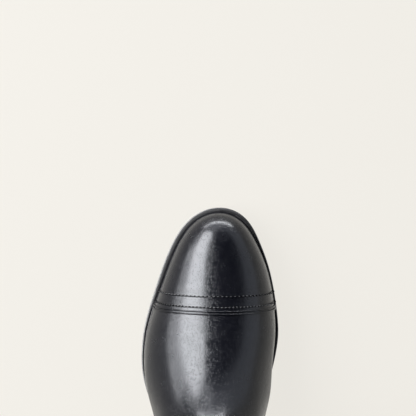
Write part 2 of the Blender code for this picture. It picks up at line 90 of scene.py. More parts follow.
# %% Sizes of the boot
MM = 0.001
SOLE_LENGTH = sole_high.y - sole_low.y
BALL_WIDTH = 91.2 * MM
WAIST_WIDTH = 59.0 * MM
HEEL_WIDTH = 64.0 * MM
TOE_SWING = 5.5 * MM
TOE_NOSE = 87.3 * MM
HEEL_NOSE = 34.0 * MM
OUTSOLE_THICKNESS = 4.5 * MM
WELT_THICKNESS = 3.0 * MM
WELT_WIDTH = 12.0 * MM
TREAD_START = 166 * MM
TREAD_END = 206 * MM
TOE_SPRING = 9 * MM
SPRING_POWER = 1.8
HEEL_HEIGHT = 28 * MM
HEEL_LENGTH = 62 * MM
HEEL_PITCH = 1.8 * MM
HEEL_TAPER = 2.2 * MM
TOP_PIECE_THICKNESS = 6 * MM
LEATHER = 2.2 * MM
TOE_OVERHANG = 3.3 * MM
HEEL_SET = 2.6 * MM
TOE_BOX_HEIGHT = 27.2 * MM
TOE_BOX_LENGTH = 30 * MM
RIDGE_SHIFT = 3 * MM
FEATHER_TUCK = 0.9 * MM
FEATHER_ROUND = 6 * MM
WAIST_SWELL_INNER = 8 * MM
WAIST_SWELL_OUTER = 3 * MM
SWELL_HEIGHT = 22 * MM
HEEL_CUP_WIDTH = 64 * MM
ANKLE_BONE_WIDTH = 70 * MM
ANKLE_HEIGHT = 142 * MM
ANKLE_INSET = 14 * MM
ANKLE_DEPTH = 110 * MM
ANKLE_WIDTH = 78 * MM
CALF_HEIGHT = 370 * MM
CALF_DEPTH = 130 * MM
CALF_WIDTH = 113 * MM
CALF_OVERHANG = 3 * MM
SHIN_HOLLOW = 4 * MM
COLLAR_HEIGHT = 460 * MM
COLLAR_DEPTH = 127 * MM
COLLAR_WIDTH = 111 * MM
COLLAR_RISE = 18 * MM
CAP_LENGTH = 64.3 * MM
CAP_LEAN = math.radians(3.9)
CAP_THICKNESS = 1.2 * MM
BEAD_COUNT = 2
BEAD_WIDTH = 1.4 * MM
BEAD_SPACING = 1.7 * MM
BEAD_THICKNESS = 0.9 * MM
BACK_STRIP_WIDTH = 18 * MM
BACK_STRIP_THICKNESS = 1.2 * MM
FIT_GAP = 0.3 * MM

# Where the foot's form turns into the leg's, where the section gets its round back, and where the
# foot's ridge ends: for each, the height at which it starts and the height that it takes.
LEG_START, LEG_TURN = 0.35 * ANKLE_HEIGHT, 0.45 * ANKLE_HEIGHT
BACK_START, BACK_TURN = 0.38 * ANKLE_HEIGHT, 0.32 * ANKLE_HEIGHT
RIDGE_END, RIDGE_TURN = 0.7 * ANKLE_HEIGHT, 0.3 * ANKLE_HEIGHT
ANKLE_FRONT = ANKLE_INSET + ANKLE_DEPTH
INSTEP_TOP = 0.85 * ANKLE_HEIGHT
INSTEP_RUN = ANKLE_FRONT + 0.15 * ANKLE_DEPTH
INSTEP_FADE = 0.18 * ANKLE_DEPTH
CALF_FRONT = CALF_DEPTH - CALF_OVERHANG
COLLAR_BACK = -CALF_OVERHANG / 3
COLLAR_FRONT = COLLAR_BACK + COLLAR_DEPTH
TOE_RUN = SOLE_LENGTH - TOE_OVERHANG
MIDDLE_RUN = SOLE_LENGTH + sole_low.y
INNER, OUTER = -1, 1
print(f"sole {SOLE_LENGTH / MM:.1f} mm long, middle at a run of {MIDDLE_RUN / MM:.1f} mm")

# %% [markdown]
# Tables give the last's widths by shares of its named sizes, and a natural cubic spline joins the
# rows. A spline is chosen over straight runs because polished leather shows the smallest kink in
# its reflections.

# %% Curves through tables


def smooth_curve(knots, values):
    """A natural cubic spline through the rows of a table, as a function of its first column."""
    x = np.asarray(knots, float)
    y = np.asarray(values, float)
    step = np.diff(x)
    slope = np.diff(y) / step
    system = np.eye(len(x))
    right = np.zeros(len(x))
    for i in range(1, len(x) - 1):
        system[i, i - 1 : i + 2] = step[i - 1], 2 * (step[i - 1] + step[i]), step[i]
        right[i] = 6 * (slope[i] - slope[i - 1])
    bend = np.linalg.solve(system, right)

    def at(points):
        p = np.clip(np.asarray(points, float), x[0], x[-1])
        i = np.clip(np.searchsorted(x, p, side="right") - 1, 0, len(step) - 1)
        before, after, h = p - x[i], x[i + 1] - p, step[i]
        cubic = (bend[i] * after**3 + bend[i + 1] * before**3) / (6 * h)
        line = (y[i] / h - bend[i] * h / 6) * after + (y[i + 1] / h - bend[i + 1] * h / 6) * before
        return cubic + line

    return at


def table_curves(rows, scale):
    """One smooth function for each column after the first, whose values are shares of scale."""
    columns = list(zip(*rows))
    return [smooth_curve([share * scale for share in columns[0]], c) for c in columns[1:]]


def ease(share):
    s = np.clip(share, 0.0, 1.0)
    return s * s * (3 - 2 * s)


def round_end(share):
    s = np.clip(share, 0.0, 1.0)
    return np.sqrt(1 - (1 - s) ** 2)


def mix(low, high, share):
    return low + (high - low) * share


print("a spline through 0, 1, 0, a quarter along:", smooth_curve([0, 1, 2], [0, 1, 0])(0.5))


# %% [markdown]
# ### The sole's plan
# A sole is cut to a paper pattern: narrow at the waist, wide at the ball, and swung in towards the
# big toe. It could be traced as one long curve, but a table of half-widths keeps left and right
# apart from length, so a change of size keeps the form. The rounded ends come from a formula,
# because a table would need many rows to be as round.

# %% The sole's plan and the foot's form
# Columns: share of the sole's length, half-width without the rounded ends, swing of the
# middle line towards the inner side.
SOLE_PLAN = [
    (0.000, 0.516 * HEEL_WIDTH, 0.00 * TOE_SWING),
    (0.120, 0.500 * HEEL_WIDTH, 0.00 * TOE_SWING),
    (0.250, 0.510 * WAIST_WIDTH, -0.10 * TOE_SWING),
    (0.400, 0.500 * WAIST_WIDTH, -0.40 * TOE_SWING),
    (0.500, 0.372 * BALL_WIDTH, -0.52 * TOE_SWING),
    (0.550, 0.433 * BALL_WIDTH, -0.44 * TOE_SWING),
    (0.620, 0.487 * BALL_WIDTH, -0.25 * TOE_SWING),
    (0.686, 0.500 * BALL_WIDTH, 0.09 * TOE_SWING),
    (0.730, 0.491 * BALL_WIDTH, 0.27 * TOE_SWING),
    (0.800, 0.472 * BALL_WIDTH, 0.55 * TOE_SWING),
    (0.870, 0.466 * BALL_WIDTH, 0.71 * TOE_SWING),
    (0.930, 0.474 * BALL_WIDTH, 0.80 * TOE_SWING),
    (1.000, 0.526 * BALL_WIDTH, 1.12 * TOE_SWING),
]
# Columns: share of the sole's length, how far the welt stands out past the upper on the inner
# side and on the outer side, as shares of what it stands out at the toe.
WELT_SHOW = [
    (0.00, 0.24, 0.24),
    (0.12, 0.24, 0.24),
    (0.40, 0.20, 0.26),
    (0.55, 0.45, 0.36),
    (0.62, 0.80, 0.46),
    (0.69, 0.68, 0.55),
    (0.74, 0.45, 0.68),
    (0.80, 0.28, 0.88),
    (0.87, 0.24, 1.00),
    (0.93, 0.40, 1.02),
    (1.00, 0.80, 1.02),
]
# Columns: share of the sole's length, swell of the upper's side as a share of the waist's swell,
# and the power of the arch over the foot: high is boxy, low is peaked.
FOOT_FORM = [
    (0.00, 0.00, 2.2),
    (0.20, 0.25, 2.0),
    (0.38, 0.85, 1.9),
    (0.50, 1.00, 1.8),
    (0.60, 0.55, 1.9),
    (0.70, 0.12, 2.1),
    (0.80, 0.00, 2.3),
    (1.00, 0.00, 2.5),
]
sole_body, sole_swing = table_curves(SOLE_PLAN, SOLE_LENGTH)
show_inner, show_outer = table_curves(WELT_SHOW, SOLE_LENGTH)
foot_swell, arch_power = table_curves(FOOT_FORM, SOLE_LENGTH)
WAIST_SWELL = {INNER: WAIST_SWELL_INNER, OUTER: WAIST_SWELL_OUTER}


def welt_show(run, side):
    return TOE_OVERHANG * (show_inner(run) if side == INNER else show_outer(run))


def sole_edge(run, side):
    half = sole_body(run) * round_end(run / HEEL_NOSE) * round_end((SOLE_LENGTH - run) / TOE_NOSE)
    return side * half - sole_swing(run)


ball_run = 0.686 * SOLE_LENGTH
ball_edges = [round(float(sole_edge(ball_run, side)) / MM, 1) for side in (INNER, OUTER)]
print("the sole's edges at the ball, mm from the middle line:", ball_edges)

# %% The sole's heights
def sole_under(run):
    """Height of the outsole's underside: heel seat, arch, flat tread and toe spring."""
    run = np.asarray(run, float)
    seat = HEEL_HEIGHT - HEEL_PITCH * run / HEEL_LENGTH
    breast = HEEL_HEIGHT - HEEL_PITCH
    reach = TREAD_START - HEEL_LENGTH
    share = np.clip((run - HEEL_LENGTH) / reach, 0, 1)
    start_slope = -HEEL_PITCH / HEEL_LENGTH * reach
    fall = breast * (2 * share**3 - 3 * share**2 + 1)
    arch = fall + start_slope * (share**3 - 2 * share**2 + share)
    spring = np.clip((run - TREAD_END) / (SOLE_LENGTH - TREAD_END), 0, None)
    return np.where(run < HEEL_LENGTH, seat, arch) + TOE_SPRING * spring**SPRING_POWER


def outsole_top(run):
    return sole_under(run) + OUTSOLE_THICKNESS


def welt_top(run):
    return outsole_top(run) + FIT_GAP + WELT_THICKNESS


def feather(run):
    """Height of the feather line, where the upper meets the welt."""
    return welt_top(run) + FIT_GAP


toe_lift = sole_under(SOLE_LENGTH) / MM
print(f"underside: {HEEL_HEIGHT / MM:.0f} mm up over the heel, {toe_lift:.0f} mm at the toe's tip")


# %% [markdown]
# ### The side view
# Seen from the side, a tall boot is two outlines: one up the toe, vamp and shin, the other up the
# heel and calf. They could be drawn as Bezier curves by hand. Here they are rows of shares between
# the named landmarks, toe box, ankle, calf and collar, so that the landmarks can move.

# %% The side view's front and back outlines
CURVE_SAMPLES = 1400


def dense_profile(rows):
    """Many points on one smooth curve through rows of (run, height)."""
    points = np.asarray(rows, float)
    along = np.concatenate([[0], np.cumsum(np.linalg.norm(np.diff(points, axis=0), axis=1))])
    fine = np.linspace(0, along[-1], CURVE_SAMPLES)
    runs = smooth_curve(along, points[:, 0])(fine)
    heights = smooth_curve(along, points[:, 1])(fine)
    return fine, runs, heights


# %% Rows of the front outline
def front_rows():
    toe = float(feather(TOE_RUN))
    box_run, box_height = TOE_RUN - TOE_BOX_LENGTH, toe + TOE_BOX_HEIGHT
    # Columns: share of the toe box's length, share of its height.
    toe_wall = [(0, 0), (0.008, 0.20), (0.066, 0.46), (0.21, 0.70), (0.51, 0.895), (1, 1)]
    # Columns: share of the way back to the ankle's front, share of the climb to it.
    vamp = [
        (0.162, 0.032), (0.328, 0.080), (0.494, 0.146), (0.643, 0.231), (0.776, 0.340),
        (0.875, 0.468), (0.938, 0.610), (0.979, 0.785), (1, 1),
    ]
    # Columns: share of the climb from ankle to calf, share of the shin's hollow.
    shin = [(0.12, 0.90), (0.30, 1.55), (0.52, 1.20), (0.78, 0.40), (1, 0)]
    rows = [(TOE_RUN - a * TOE_BOX_LENGTH, toe + b * TOE_BOX_HEIGHT) for a, b in toe_wall]
    rows += [(mix(box_run, ANKLE_FRONT, a), mix(box_height, ANKLE_HEIGHT, b)) for a, b in vamp]
    for climb, hollow in shin:
        run = mix(ANKLE_FRONT, CALF_FRONT, climb) - hollow * SHIN_HOLLOW
        rows.append((run, mix(ANKLE_HEIGHT, CALF_HEIGHT, climb)))
    rows.append((mix(CALF_FRONT, COLLAR_FRONT, 0.5), mix(CALF_HEIGHT, COLLAR_HEIGHT, 0.6)))
    rows.append((COLLAR_FRONT, COLLAR_HEIGHT))
    return rows


# %% Rows of the back outline
def back_rows():
    seat = float(feather(HEEL_SET))
    # Columns: share of the climb from seat to ankle, share of the ankle's inset.
    heel = [
        (0.085, 0.090), (0.17, 0.086), (0.28, 0.17), (0.43, 0.39), (0.60, 0.68), (0.79, 0.915),
        (1, 1),
    ]
    # Columns: share of the climb from ankle to calf, share of the way out to the calf's back.
    calf = [(0.12, 0.09), (0.32, 0.35), (0.54, 0.68), (0.78, 0.91), (1, 1)]
    rows = [(HEEL_SET, seat)]
    rows += [(share * ANKLE_INSET, mix(seat, ANKLE_HEIGHT, climb)) for climb, share in heel]
    for climb, share in calf:
        run = mix(ANKLE_INSET, -CALF_OVERHANG, share)
        rows.append((run, mix(ANKLE_HEIGHT, CALF_HEIGHT, climb)))
    rows.append((mix(-CALF_OVERHANG, COLLAR_BACK, 0.4), mix(CALF_HEIGHT, COLLAR_HEIGHT, 0.6)))
    rows.append((COLLAR_BACK, COLLAR_HEIGHT))
    return rows


front_along, front_runs, front_heights = dense_profile(front_rows())
back_along, back_runs, back_heights = dense_profile(back_rows())
SEAT_HEIGHT = float(feather(0))
front_size = [round(float(np.ptp(part)) / MM) for part in (front_runs, front_heights)]
print("the front outline, mm along and mm up:", front_size)

# %% The leg's widths
# Columns: height, half-width of the leg there, length of the rounded back of its section.
LEG_FORM = [
    (SEAT_HEIGHT, 0.500 * HEEL_CUP_WIDTH, 1.00 * HEEL_NOSE),
    (mix(SEAT_HEIGHT, ANKLE_HEIGHT, 0.28), 0.492 * HEEL_CUP_WIDTH, 1.08 * HEEL_NOSE),
    (mix(SEAT_HEIGHT, ANKLE_HEIGHT, 0.56), 0.500 * ANKLE_BONE_WIDTH, 0.40 * ANKLE_DEPTH),
    (ANKLE_HEIGHT, 0.500 * ANKLE_WIDTH, 0.47 * ANKLE_DEPTH),
    (mix(ANKLE_HEIGHT, CALF_HEIGHT, 0.30), 0.395 * CALF_WIDTH, 0.41 * CALF_DEPTH),
    (mix(ANKLE_HEIGHT, CALF_HEIGHT, 0.62), 0.465 * CALF_WIDTH, 0.45 * CALF_DEPTH),
    (CALF_HEIGHT, 0.500 * CALF_WIDTH, 0.50 * CALF_DEPTH),
    (COLLAR_HEIGHT, 0.500 * COLLAR_WIDTH, 0.50 * COLLAR_DEPTH),
]
leg_half, leg_back = table_curves(LEG_FORM, 1)
print(f"toe feather {feather(TOE_RUN) / MM:.1f} mm up, seat {SEAT_HEIGHT / MM:.1f} mm up")

# %% [markdown]
# ### The skin of the last
# The outlines and the widths meet in one function: for a place in the side view it gives how far
# out the leather lies. A subdivided cage could show the same form, but every overlay would then
# need its own copy. A function can be asked again for the cap, the bands, the strip and the seams.

# %% The skin of the last


def ridge(run):
    """Height of the foot's ridge over a run. Behind the instep it climbs away steeply, since the
    shaft's own front edge takes over there."""
    low = front_heights < INSTEP_TOP
    runs, heights = front_runs[low][::-1], front_heights[low][::-1]
    climb = (heights[0] - heights[4]) / (runs[4] - runs[0])
    beyond = np.clip(runs[0] - run, 0, None)
    steep = np.clip((INSTEP_RUN - run) / INSTEP_FADE, 0, None) ** 3
    return np.interp(run, runs, heights) + climb * beyond + COLLAR_HEIGHT * steep


def half_section(run, height, side):
    """Place of the upper's outside across the foot, at a run and height of the side view."""
    lift = height - feather(run)
    leg_share = ease((height - LEG_START) / LEG_TURN)
    swell = WAIST_SWELL[side] * foot_swell(run) * ease(lift / SWELL_HEIGHT)
    foot = (sole_body(run) - welt_show(run, side) + swell) * round_end((TOE_RUN - run) / TOE_NOSE)
    width = mix(foot, leg_half(height), leg_share)
    front = np.interp(height, front_heights, front_runs)
    back = np.interp(height, back_heights, back_runs)
    upright = ease((height - BACK_START) / BACK_TURN)
    under = np.clip(1 - lift / np.maximum(ridge(run) - feather(run), 1e-6), 0, 1)
    under = mix(under, 1, ease((height - RIDGE_END) / RIDGE_TURN))
    behind = np.clip((front - run) / (front - back - leg_back(height)), 0, 1)
    behind = 1 - upright * (1 - behind)
    both = under * behind / np.maximum(under + behind - under * behind, 1e-9)
    closing = np.sqrt(1 - (1 - both) ** arch_power(run))
    half = width * closing * round_end((run - back) / leg_back(height))
    shift = RIDGE_SHIFT * (1 - under) ** 2 * ease((TOE_RUN - run) / TOE_NOSE)
    return side * half - (sole_swing(run) + shift) * (1 - leg_share)


ball_side = float(half_section(ball_run, 40 * MM, OUTER)) / MM
print(f"the upper's outer side at the ball, 40 mm up: {ball_side:.1f} mm from the middle line")

# %% Points on the last, their normals and the tucked edge
def placed(across, run, height):
    return np.stack([across, MIDDLE_RUN - run, height], axis=-1)


def outward(grid, around):
    """Unit normals of a grid of points. Its first axis runs up or back, its second across."""
    up = np.gradient(grid, axis=0)
    if around:
        across = np.roll(grid, -1, axis=1) - np.roll(grid, 1, axis=1)
    else:
        across = np.gradient(grid, axis=1)
    normal = np.cross(across, up)
    return normal / np.linalg.norm(normal, axis=-1, keepdims=True)


def tuck(points, normals):
    """Rolls the lowest edge in under the last, as leather turns in above a welt."""
    lift = points[..., 2] - feather(MIDDLE_RUN - points[..., 1])
    pull = FEATHER_TUCK * np.clip(1 - lift / FEATHER_ROUND, 0, 1) ** 2
    return points - normals * (1, 1, 0) * pull[..., None]


# %% [markdown]
# ## The upper
# The vamp and the shaft are one soft wall. It is lofted from rings that start at the feather line
# and climb to the collar: near the toe they lie close together, because the toe box turns fast.
# A new boot has hardly a crease. Only the ankle shows soft folds, where the shaft bends over the
# instep, and they are pressed into the rings row by row.

# %% Rings over the last
SKIN_COLUMNS = 240
TOE_WALL_RINGS = 44
VAMP_RINGS = 104
SHAFT_RINGS = 64
# Columns, in mm: height of the fold where it crosses the shin, how steeply it falls towards the
# heel, how far round it reaches, its half-width, and its depth.
ANKLE_FOLDS = [
    (104, 0.34, 34, 4.2, 0.7),
    (116, 0.22, 44, 5.0, 1.0),
    (131, 0.10, 48, 5.6, 1.1),
    (149, -0.02, 44, 6.0, 0.8),
    (170, -0.12, 36, 7.0, 0.5),
]
# Beside a fold the leather bulges: by this share of its depth, at this many half-widths above it.
BULGE_SHARE, BULGE_OFFSET = 0.45, 1.7


def ring_ends():
    """Where each ring starts on the front outline and ends on the back outline."""
    box = np.interp(feather(TOE_RUN) + TOE_BOX_HEIGHT, front_heights, front_along)
    ankle = np.interp(ANKLE_HEIGHT, front_heights, front_along)
    back_ankle = np.interp(ANKLE_HEIGHT, back_heights, back_along)
    heel_step = 0.09 * back_ankle
    wall = np.arange(TOE_WALL_RINGS) / TOE_WALL_RINGS
    vamp = np.arange(VAMP_RINGS) / VAMP_RINGS
    shaft = np.arange(SHAFT_RINGS + 1) / SHAFT_RINGS
    shaft_front = mix(ankle, front_along[-1], shaft)
    front = np.concatenate([wall * box, mix(box, ankle, vamp), shaft_front])
    low_back = mix(heel_step, back_ankle, vamp**1.9)
    shaft_back = mix(back_ankle, back_along[-1], shaft)
    return front, np.concatenate([wall * heel_step, low_back, shaft_back])


# %% The ankle's folds
def fold_depth(run, height):
    """How far the ankle's folds press the leather in."""
    front = np.interp(height, front_heights, front_runs)
    depth = np.zeros_like(run)
    for centre, fall, reach, half_width, deepest in ANKLE_FOLDS:
        away = (front - run) / MM
        off = (height / MM - centre + fall * away) / half_width
        fade = np.exp(-((away / reach) ** 2))
        bulge = BULGE_SHARE * np.exp(-((off - BULGE_OFFSET) ** 2))
        depth += deepest * MM * fade * (np.exp(-(off**2)) - bulge)
    return depth


print("deepest fold, mm:", max(fold[-1] for fold in ANKLE_FOLDS))

# %% The whole skin
def skin_grid():
    turn = np.linspace(0, 2 * math.pi, SKIN_COLUMNS, endpoint=False)[None, :]
    share = (1 - np.cos(turn)) / 2
    front_at, back_at = (ends[:, None] for ends in ring_ends())
    front_run = np.interp(front_at, front_along, front_runs)
    front_height = np.interp(front_at, front_along, front_heights)
    back_run = np.interp(back_at, back_along, back_runs)
    back_height = np.interp(back_at, back_along, back_heights)
    foot_rings = TOE_WALL_RINGS + VAMP_RINGS
    ring = np.arange(len(front_at))[:, None]
    run = mix(front_run, back_run, share)
    straight = mix(feather(front_run), feather(back_run), share)
    sag = (feather(run) - straight) * np.clip(1 - ring / foot_rings, 0, 1) ** 2
    height = mix(front_height, back_height, share) + sag
    outer, inner = half_section(run, height, OUTER), half_section(run, height, INNER)
    across = np.where(np.sin(turn) >= 0, outer, inner)
    grid = placed(across, run, height)
    grid = tuck(grid, outward(grid, True))
    grid = grid - outward(grid, True) * fold_depth(run, height)[..., None]
    shaft_share = np.clip(ring - foot_rings, 0, None) / SHAFT_RINGS
    rise = COLLAR_RISE * ease((shaft_share - 0.3) / 0.7) * np.clip(np.sin(turn), 0, 1) ** 2
    grid[..., 2] += rise
    return grid


skin = skin_grid()
skin_out = outward(skin, True)
print("skin", skin.shape, "highest", round(float(skin[..., 2].max()) / MM, 1), "mm")

# %% [markdown]
# ### From points to pieces
# Leather has an outside, an inside and a cut edge, so most pieces here are shells: one sheet of
# faces, the same sheet turned round below it, and a wall along its rim. A Solidify modifier would
# do that as well, but its thickness is even, and a folded edge or a stitch trough is not.

# %% Helpers that turn points into pieces


def new_piece(name, points, faces, materials, face_materials=None, sharp=40):
    """A mesh object at the origin, shaded smooth, with its faces' material numbers."""
    mesh = bpy.data.meshes.new(name)
    mesh.from_pydata(np.asarray(points).tolist(), [], [list(map(int, face)) for face in faces])
    for material in materials:
        mesh.materials.append(material)
    if face_materials is not None:
        mesh.polygons.foreach_set("material_index", np.asarray(face_materials, np.int32))
    mesh.shade_smooth()
    mesh.set_sharp_from_angle(angle=math.radians(sharp))
    piece = bpy.data.objects.new(name, mesh)
    bpy.context.scene.collection.objects.link(piece)
    return piece


def dress(piece, slot, *nodes):
    """Hangs a finished piece on the boot's one body, in place of CAD nodes."""
    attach(piece, "root")
    if nodes:
        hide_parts(*nodes)
    triangles = sum(len(face.vertices) - 2 for face in piece.data.polygons)
    print(f"{piece.name}: {triangles} triangles, in place of {nodes}")


# %% Faces of a grid
def grid_faces(rows, columns, around=False, closed=False):
    """Quads between the rows of a grid, with the second axis around if it is a loop."""
    low = np.arange(rows if closed else rows - 1)[:, None]
    left = np.arange(columns if around else columns - 1)[None, :]
    high, right = (low + 1) % rows, (left + 1) % columns
    corners = [low * columns + left, low * columns + right, high * columns + right]
    corners.append(high * columns + left)
    return np.stack(corners, axis=-1).reshape(-1, 4)


def welded(points, faces):
    """Joins points that lie in one place, and drops faces that lose their area by it."""
    flat = np.asarray(points).reshape(-1, 3)
    _, first, same = np.unique(np.round(flat, 7), axis=0, return_index=True, return_inverse=True)
    same = same.reshape(-1)
    kept = []
    for face in faces:
        corners = list(dict.fromkeys(same[list(face)].tolist()))
        if len(corners) > 2:
            kept.append(corners)
    return flat[first], kept, same


print("the one quad of a grid of 2 by 2 points:", grid_faces(2, 2).tolist())

# %% Normals and shells
def face_normals(points, faces):
    """Unit normals at the points of a mesh, from the faces round each."""
    total = np.zeros_like(points)
    for face in faces:
        a, b, c = (points[face[k]] for k in (0, 1, 2))
        d = points[face[-1]]
        normal = np.cross(c - a, d - b) if len(face) == 4 else np.cross(b - a, c - a)
        for corner in face:
            total[corner] += normal
    return total / np.linalg.norm(total, axis=1, keepdims=True)


def shell(faces, outer, inner):
    """A closed wall between an outer and an inner copy of one sheet of faces."""
    count = len(outer)
    edges = {(face[k - 1], face[k]) for face in faces for k in range(len(face))}
    rim = [(a, b) for a, b in edges if (b, a) not in edges]
    walls = [(b, a, a + count, b + count) for a, b in sorted(rim)]
    lining = [[corner + count for corner in reversed(face)] for face in faces]
    return np.concatenate([outer, inner]), [*faces, *lining, *walls]


# %% [markdown]
# ## Leather
# Polished calf is nearly black, so all that the eye sees of it is what it reflects. Its grain is
# made of small pits and pores, which break up every reflection, and the hide takes its polish
# unevenly, in soft clouds. A picture of leather could give both, but it would have to be unwrapped
# and would stretch. Textures that are read in the boot's own space stay put and stay even. The
# index of refraction is set below that of real wax, and the lamps are stronger to match: the
# flanks, which mirror only the walls, stay dark beside the bright band.

# %% Nodes by name
def new_material(name):
    material = bpy.data.materials.new(name)
    material.use_nodes = True
    tree = material.node_tree
    return material, tree, tree.nodes["Principled BSDF"]


def add_node(tree, kind, settings=None, **inputs):
    """A node with its properties and input values set by name."""
    node = tree.nodes.new(kind)
    for name, value in (settings or {}).items():
        setattr(node, name, value)
    for name, value in inputs.items():
        node.inputs[name.replace("_", " ")].default_value = value
    return node


SOFT_STEP = {"interpolation_type": "SMOOTHSTEP"}


def joined(tree, source, output, target, socket):
    tree.links.new(source.outputs[output], target.inputs[socket])


# %% Leather
POLISH_TINT = (0.93, 0.955, 1.0)
WAX_IOR = 1.32
PORE_SHARE = 0.3
CLOUD_SCALE = 140.0
BROAD_STRENGTH = 0.22


def leather(name, colour, roughness, grain=1.0 * MM, relief=0.11 * MM, cloud=0.05):
    """Smooth leather: a grain of pits and pores over a hide that takes its polish unevenly."""
    material, tree, shader = new_material(name)
    place = add_node(tree, "ShaderNodeTexCoord")
    cells = add_node(tree, "ShaderNodeTexVoronoi", Scale=1 / grain)
    pores = add_node(tree, "ShaderNodeTexNoise", Scale=0.6 / grain, Detail=5.0, Roughness=0.65)
    hide = add_node(tree, "ShaderNodeTexNoise", Scale=CLOUD_SCALE, Detail=4.0, Roughness=0.55)
    for texture in (cells, pores, hide):
        joined(tree, place, "Object", texture, "Vector")
    pits = add_node(tree, "ShaderNodeMapRange", SOFT_STEP, From_Min=0.05, From_Max=0.45)
    joined(tree, cells, "Distance", pits, "Value")
    both = add_node(tree, "ShaderNodeMix", {"data_type": "FLOAT"}, Factor=PORE_SHARE)
    joined(tree, pits, "Result", both, "A")
    joined(tree, pores, "Fac", both, "B")
    fine = add_node(tree, "ShaderNodeBump", Strength=1.0, Distance=relief)
    joined(tree, both, "Result", fine, "Height")
    broad = add_node(tree, "ShaderNodeBump", Strength=BROAD_STRENGTH, Distance=2 * relief)
    joined(tree, hide, "Fac", broad, "Height")
    joined(tree, fine, "Normal", broad, "Normal")
    joined(tree, broad, "Normal", shader, "Normal")
    polish = add_node(tree, "ShaderNodeMapRange", From_Min=0.3, From_Max=0.7)
    polish.inputs["To Min"].default_value = roughness - cloud
    polish.inputs["To Max"].default_value = roughness + cloud
    joined(tree, hide, "Fac", polish, "Value")
    joined(tree, polish, "Result", shader, "Roughness")
    shader.inputs["Base Color"].default_value = (*colour, 1)
    shader.inputs["Specular Tint"].default_value = (*POLISH_TINT, 1)
    shader.inputs["IOR"].default_value = WAX_IOR
    return material


# %% Rubber, thread and dressed edges
def plain_finish(name, colour, roughness, size=0.6 * MM, relief=0.03 * MM):
    """Rubber, thread, a dressed edge or the painted shade of needle holes: one colour with a fine
    uneven surface.
    """
    material, tree, shader = new_material(name)
    place = add_node(tree, "ShaderNodeTexCoord")
    noise = add_node(tree, "ShaderNodeTexNoise", Scale=1 / size, Detail=3.0, Roughness=0.55)
    joined(tree, place, "Object", noise, "Vector")
    bump = add_node(tree, "ShaderNodeBump", Strength=0.6, Distance=relief)
    joined(tree, noise, "Fac", bump, "Height")
    joined(tree, bump, "Normal", shader, "Normal")
    rough = add_node(tree, "ShaderNodeMapRange", To_Min=roughness - 0.06, To_Max=roughness + 0.06)
    joined(tree, noise, "Fac", rough, "Value")
    joined(tree, rough, "Result", shader, "Roughness")
    shader.inputs["Base Color"].default_value = (*colour, 1)
    return material


# %% The boot's finishes
boot_leather = leather("boot_leather", (0.0010, 0.0011, 0.0018), 0.235)
lining_leather = leather("lining_leather", (0.030, 0.028, 0.027), 0.55)
sock_leather = leather("sock_leather", (0.055, 0.049, 0.043), 0.6)
waxed_thread = plain_finish("waxed_thread", (0.010, 0.0105, 0.012), 0.5, 0.2 * MM)
# Painted shade: a black finish without reflection for the stubs that stand in for the shadow inside
# the needle holes.
painted_hole_shade = plain_finish("painted_hole_shade", (0.0004, 0.0004, 0.0004), 0.9)
painted_hole_shade.node_tree.nodes["Principled BSDF"].inputs["Specular IOR Level"].default_value = 0.0
edge_dressing = plain_finish("edge_dressing", (0.014, 0.014, 0.015), 0.42)
sole_rubber = plain_finish("sole_rubber", (0.011, 0.011, 0.012), 0.5)
heel_edge = plain_finish("heel_edge", (0.009, 0.009, 0.010), 0.36)
print("materials:", [m.name for m in bpy.data.materials if m.use_nodes])

# %% [markdown]
# ### The wall of the upper
# Down the shaft one sees the lining, so the upper can't be a single sheet. Its loops run up the
# outside, over a half-round collar and down the inside, and meet again along the lower edge. The
# foot stays open underneath, where the sole closes it. The lining takes every fourth ring only,
# since nobody sees it from close by.

# %% The upper: outside, rounded collar and lining in one wall
RIM_STEPS = 8
LINING_STEP = 4


def make_upper():
    radius = LEATHER / 2
    outside = skin.copy()
    outside[-1, :, 2] -= radius
    inside = (skin - skin_out * LEATHER)[::-LINING_STEP]
    inside[0, :, 2] = outside[-1, :, 2]
    if len(skin) % LINING_STEP != 1:
        inside = np.concatenate([inside, (skin - skin_out * LEATHER)[:1]])
    inside[-1, :, 2] = skin[0, :, 2]
    level = skin_out[-1] * (1, 1, 0)
    middle = outside[-1] - level * radius
    rim = []
    for step in range(1, RIM_STEPS):
        angle = math.pi * step / RIM_STEPS
        lift = np.array((0, 0, radius * math.sin(angle)))
        rim.append(middle + level * radius * math.cos(angle) + lift)
    loops = np.concatenate([outside, rim, inside])
    faces = grid_faces(len(loops), SKIN_COLUMNS, around=True, closed=True)
    strip = np.repeat(np.arange(len(loops)), SKIN_COLUMNS)
    lined = (strip >= len(outside) + len(rim)).astype(int)
    points = loops.reshape(-1, 3)
    return new_piece("upper", points, faces, [boot_leather, lining_leather], lined)


upper = make_upper()
dress(upper, "upper_leather", "upper")

# %% [markdown]
# ## The toe cap and its beads
# The cap is a second layer of leather, laid over the vamp and cut off straight across, with its
# edge folded under. Behind it lie two folded bands, like fine piping. All of them follow one
# leaning plane across the foot, so rows are measured from that plane: ahead of it for the cap
# and its stitches, behind it for the bands.

# %% Rows beside the cap's seam
SEAM_RUN = SOLE_LENGTH - CAP_LENGTH
SEAM_FOOT = float(feather(SEAM_RUN))
ROW_STEPS = 8


def row_points(back, climb, side):
    """Points on the skin, a distance back from the seam, by their climb: 0 at the feather, 1 on
    the ridge. Back is negative towards the toe."""
    height = np.full(np.broadcast(back, climb).shape, SEAM_FOOT)
    for _ in range(ROW_STEPS):
        run = SEAM_RUN - (back + (height - SEAM_FOOT) * math.sin(CAP_LEAN)) / math.cos(CAP_LEAN)
        height = mix(feather(run), ridge(run), climb)
    return placed(half_section(run, height, side), run, height)


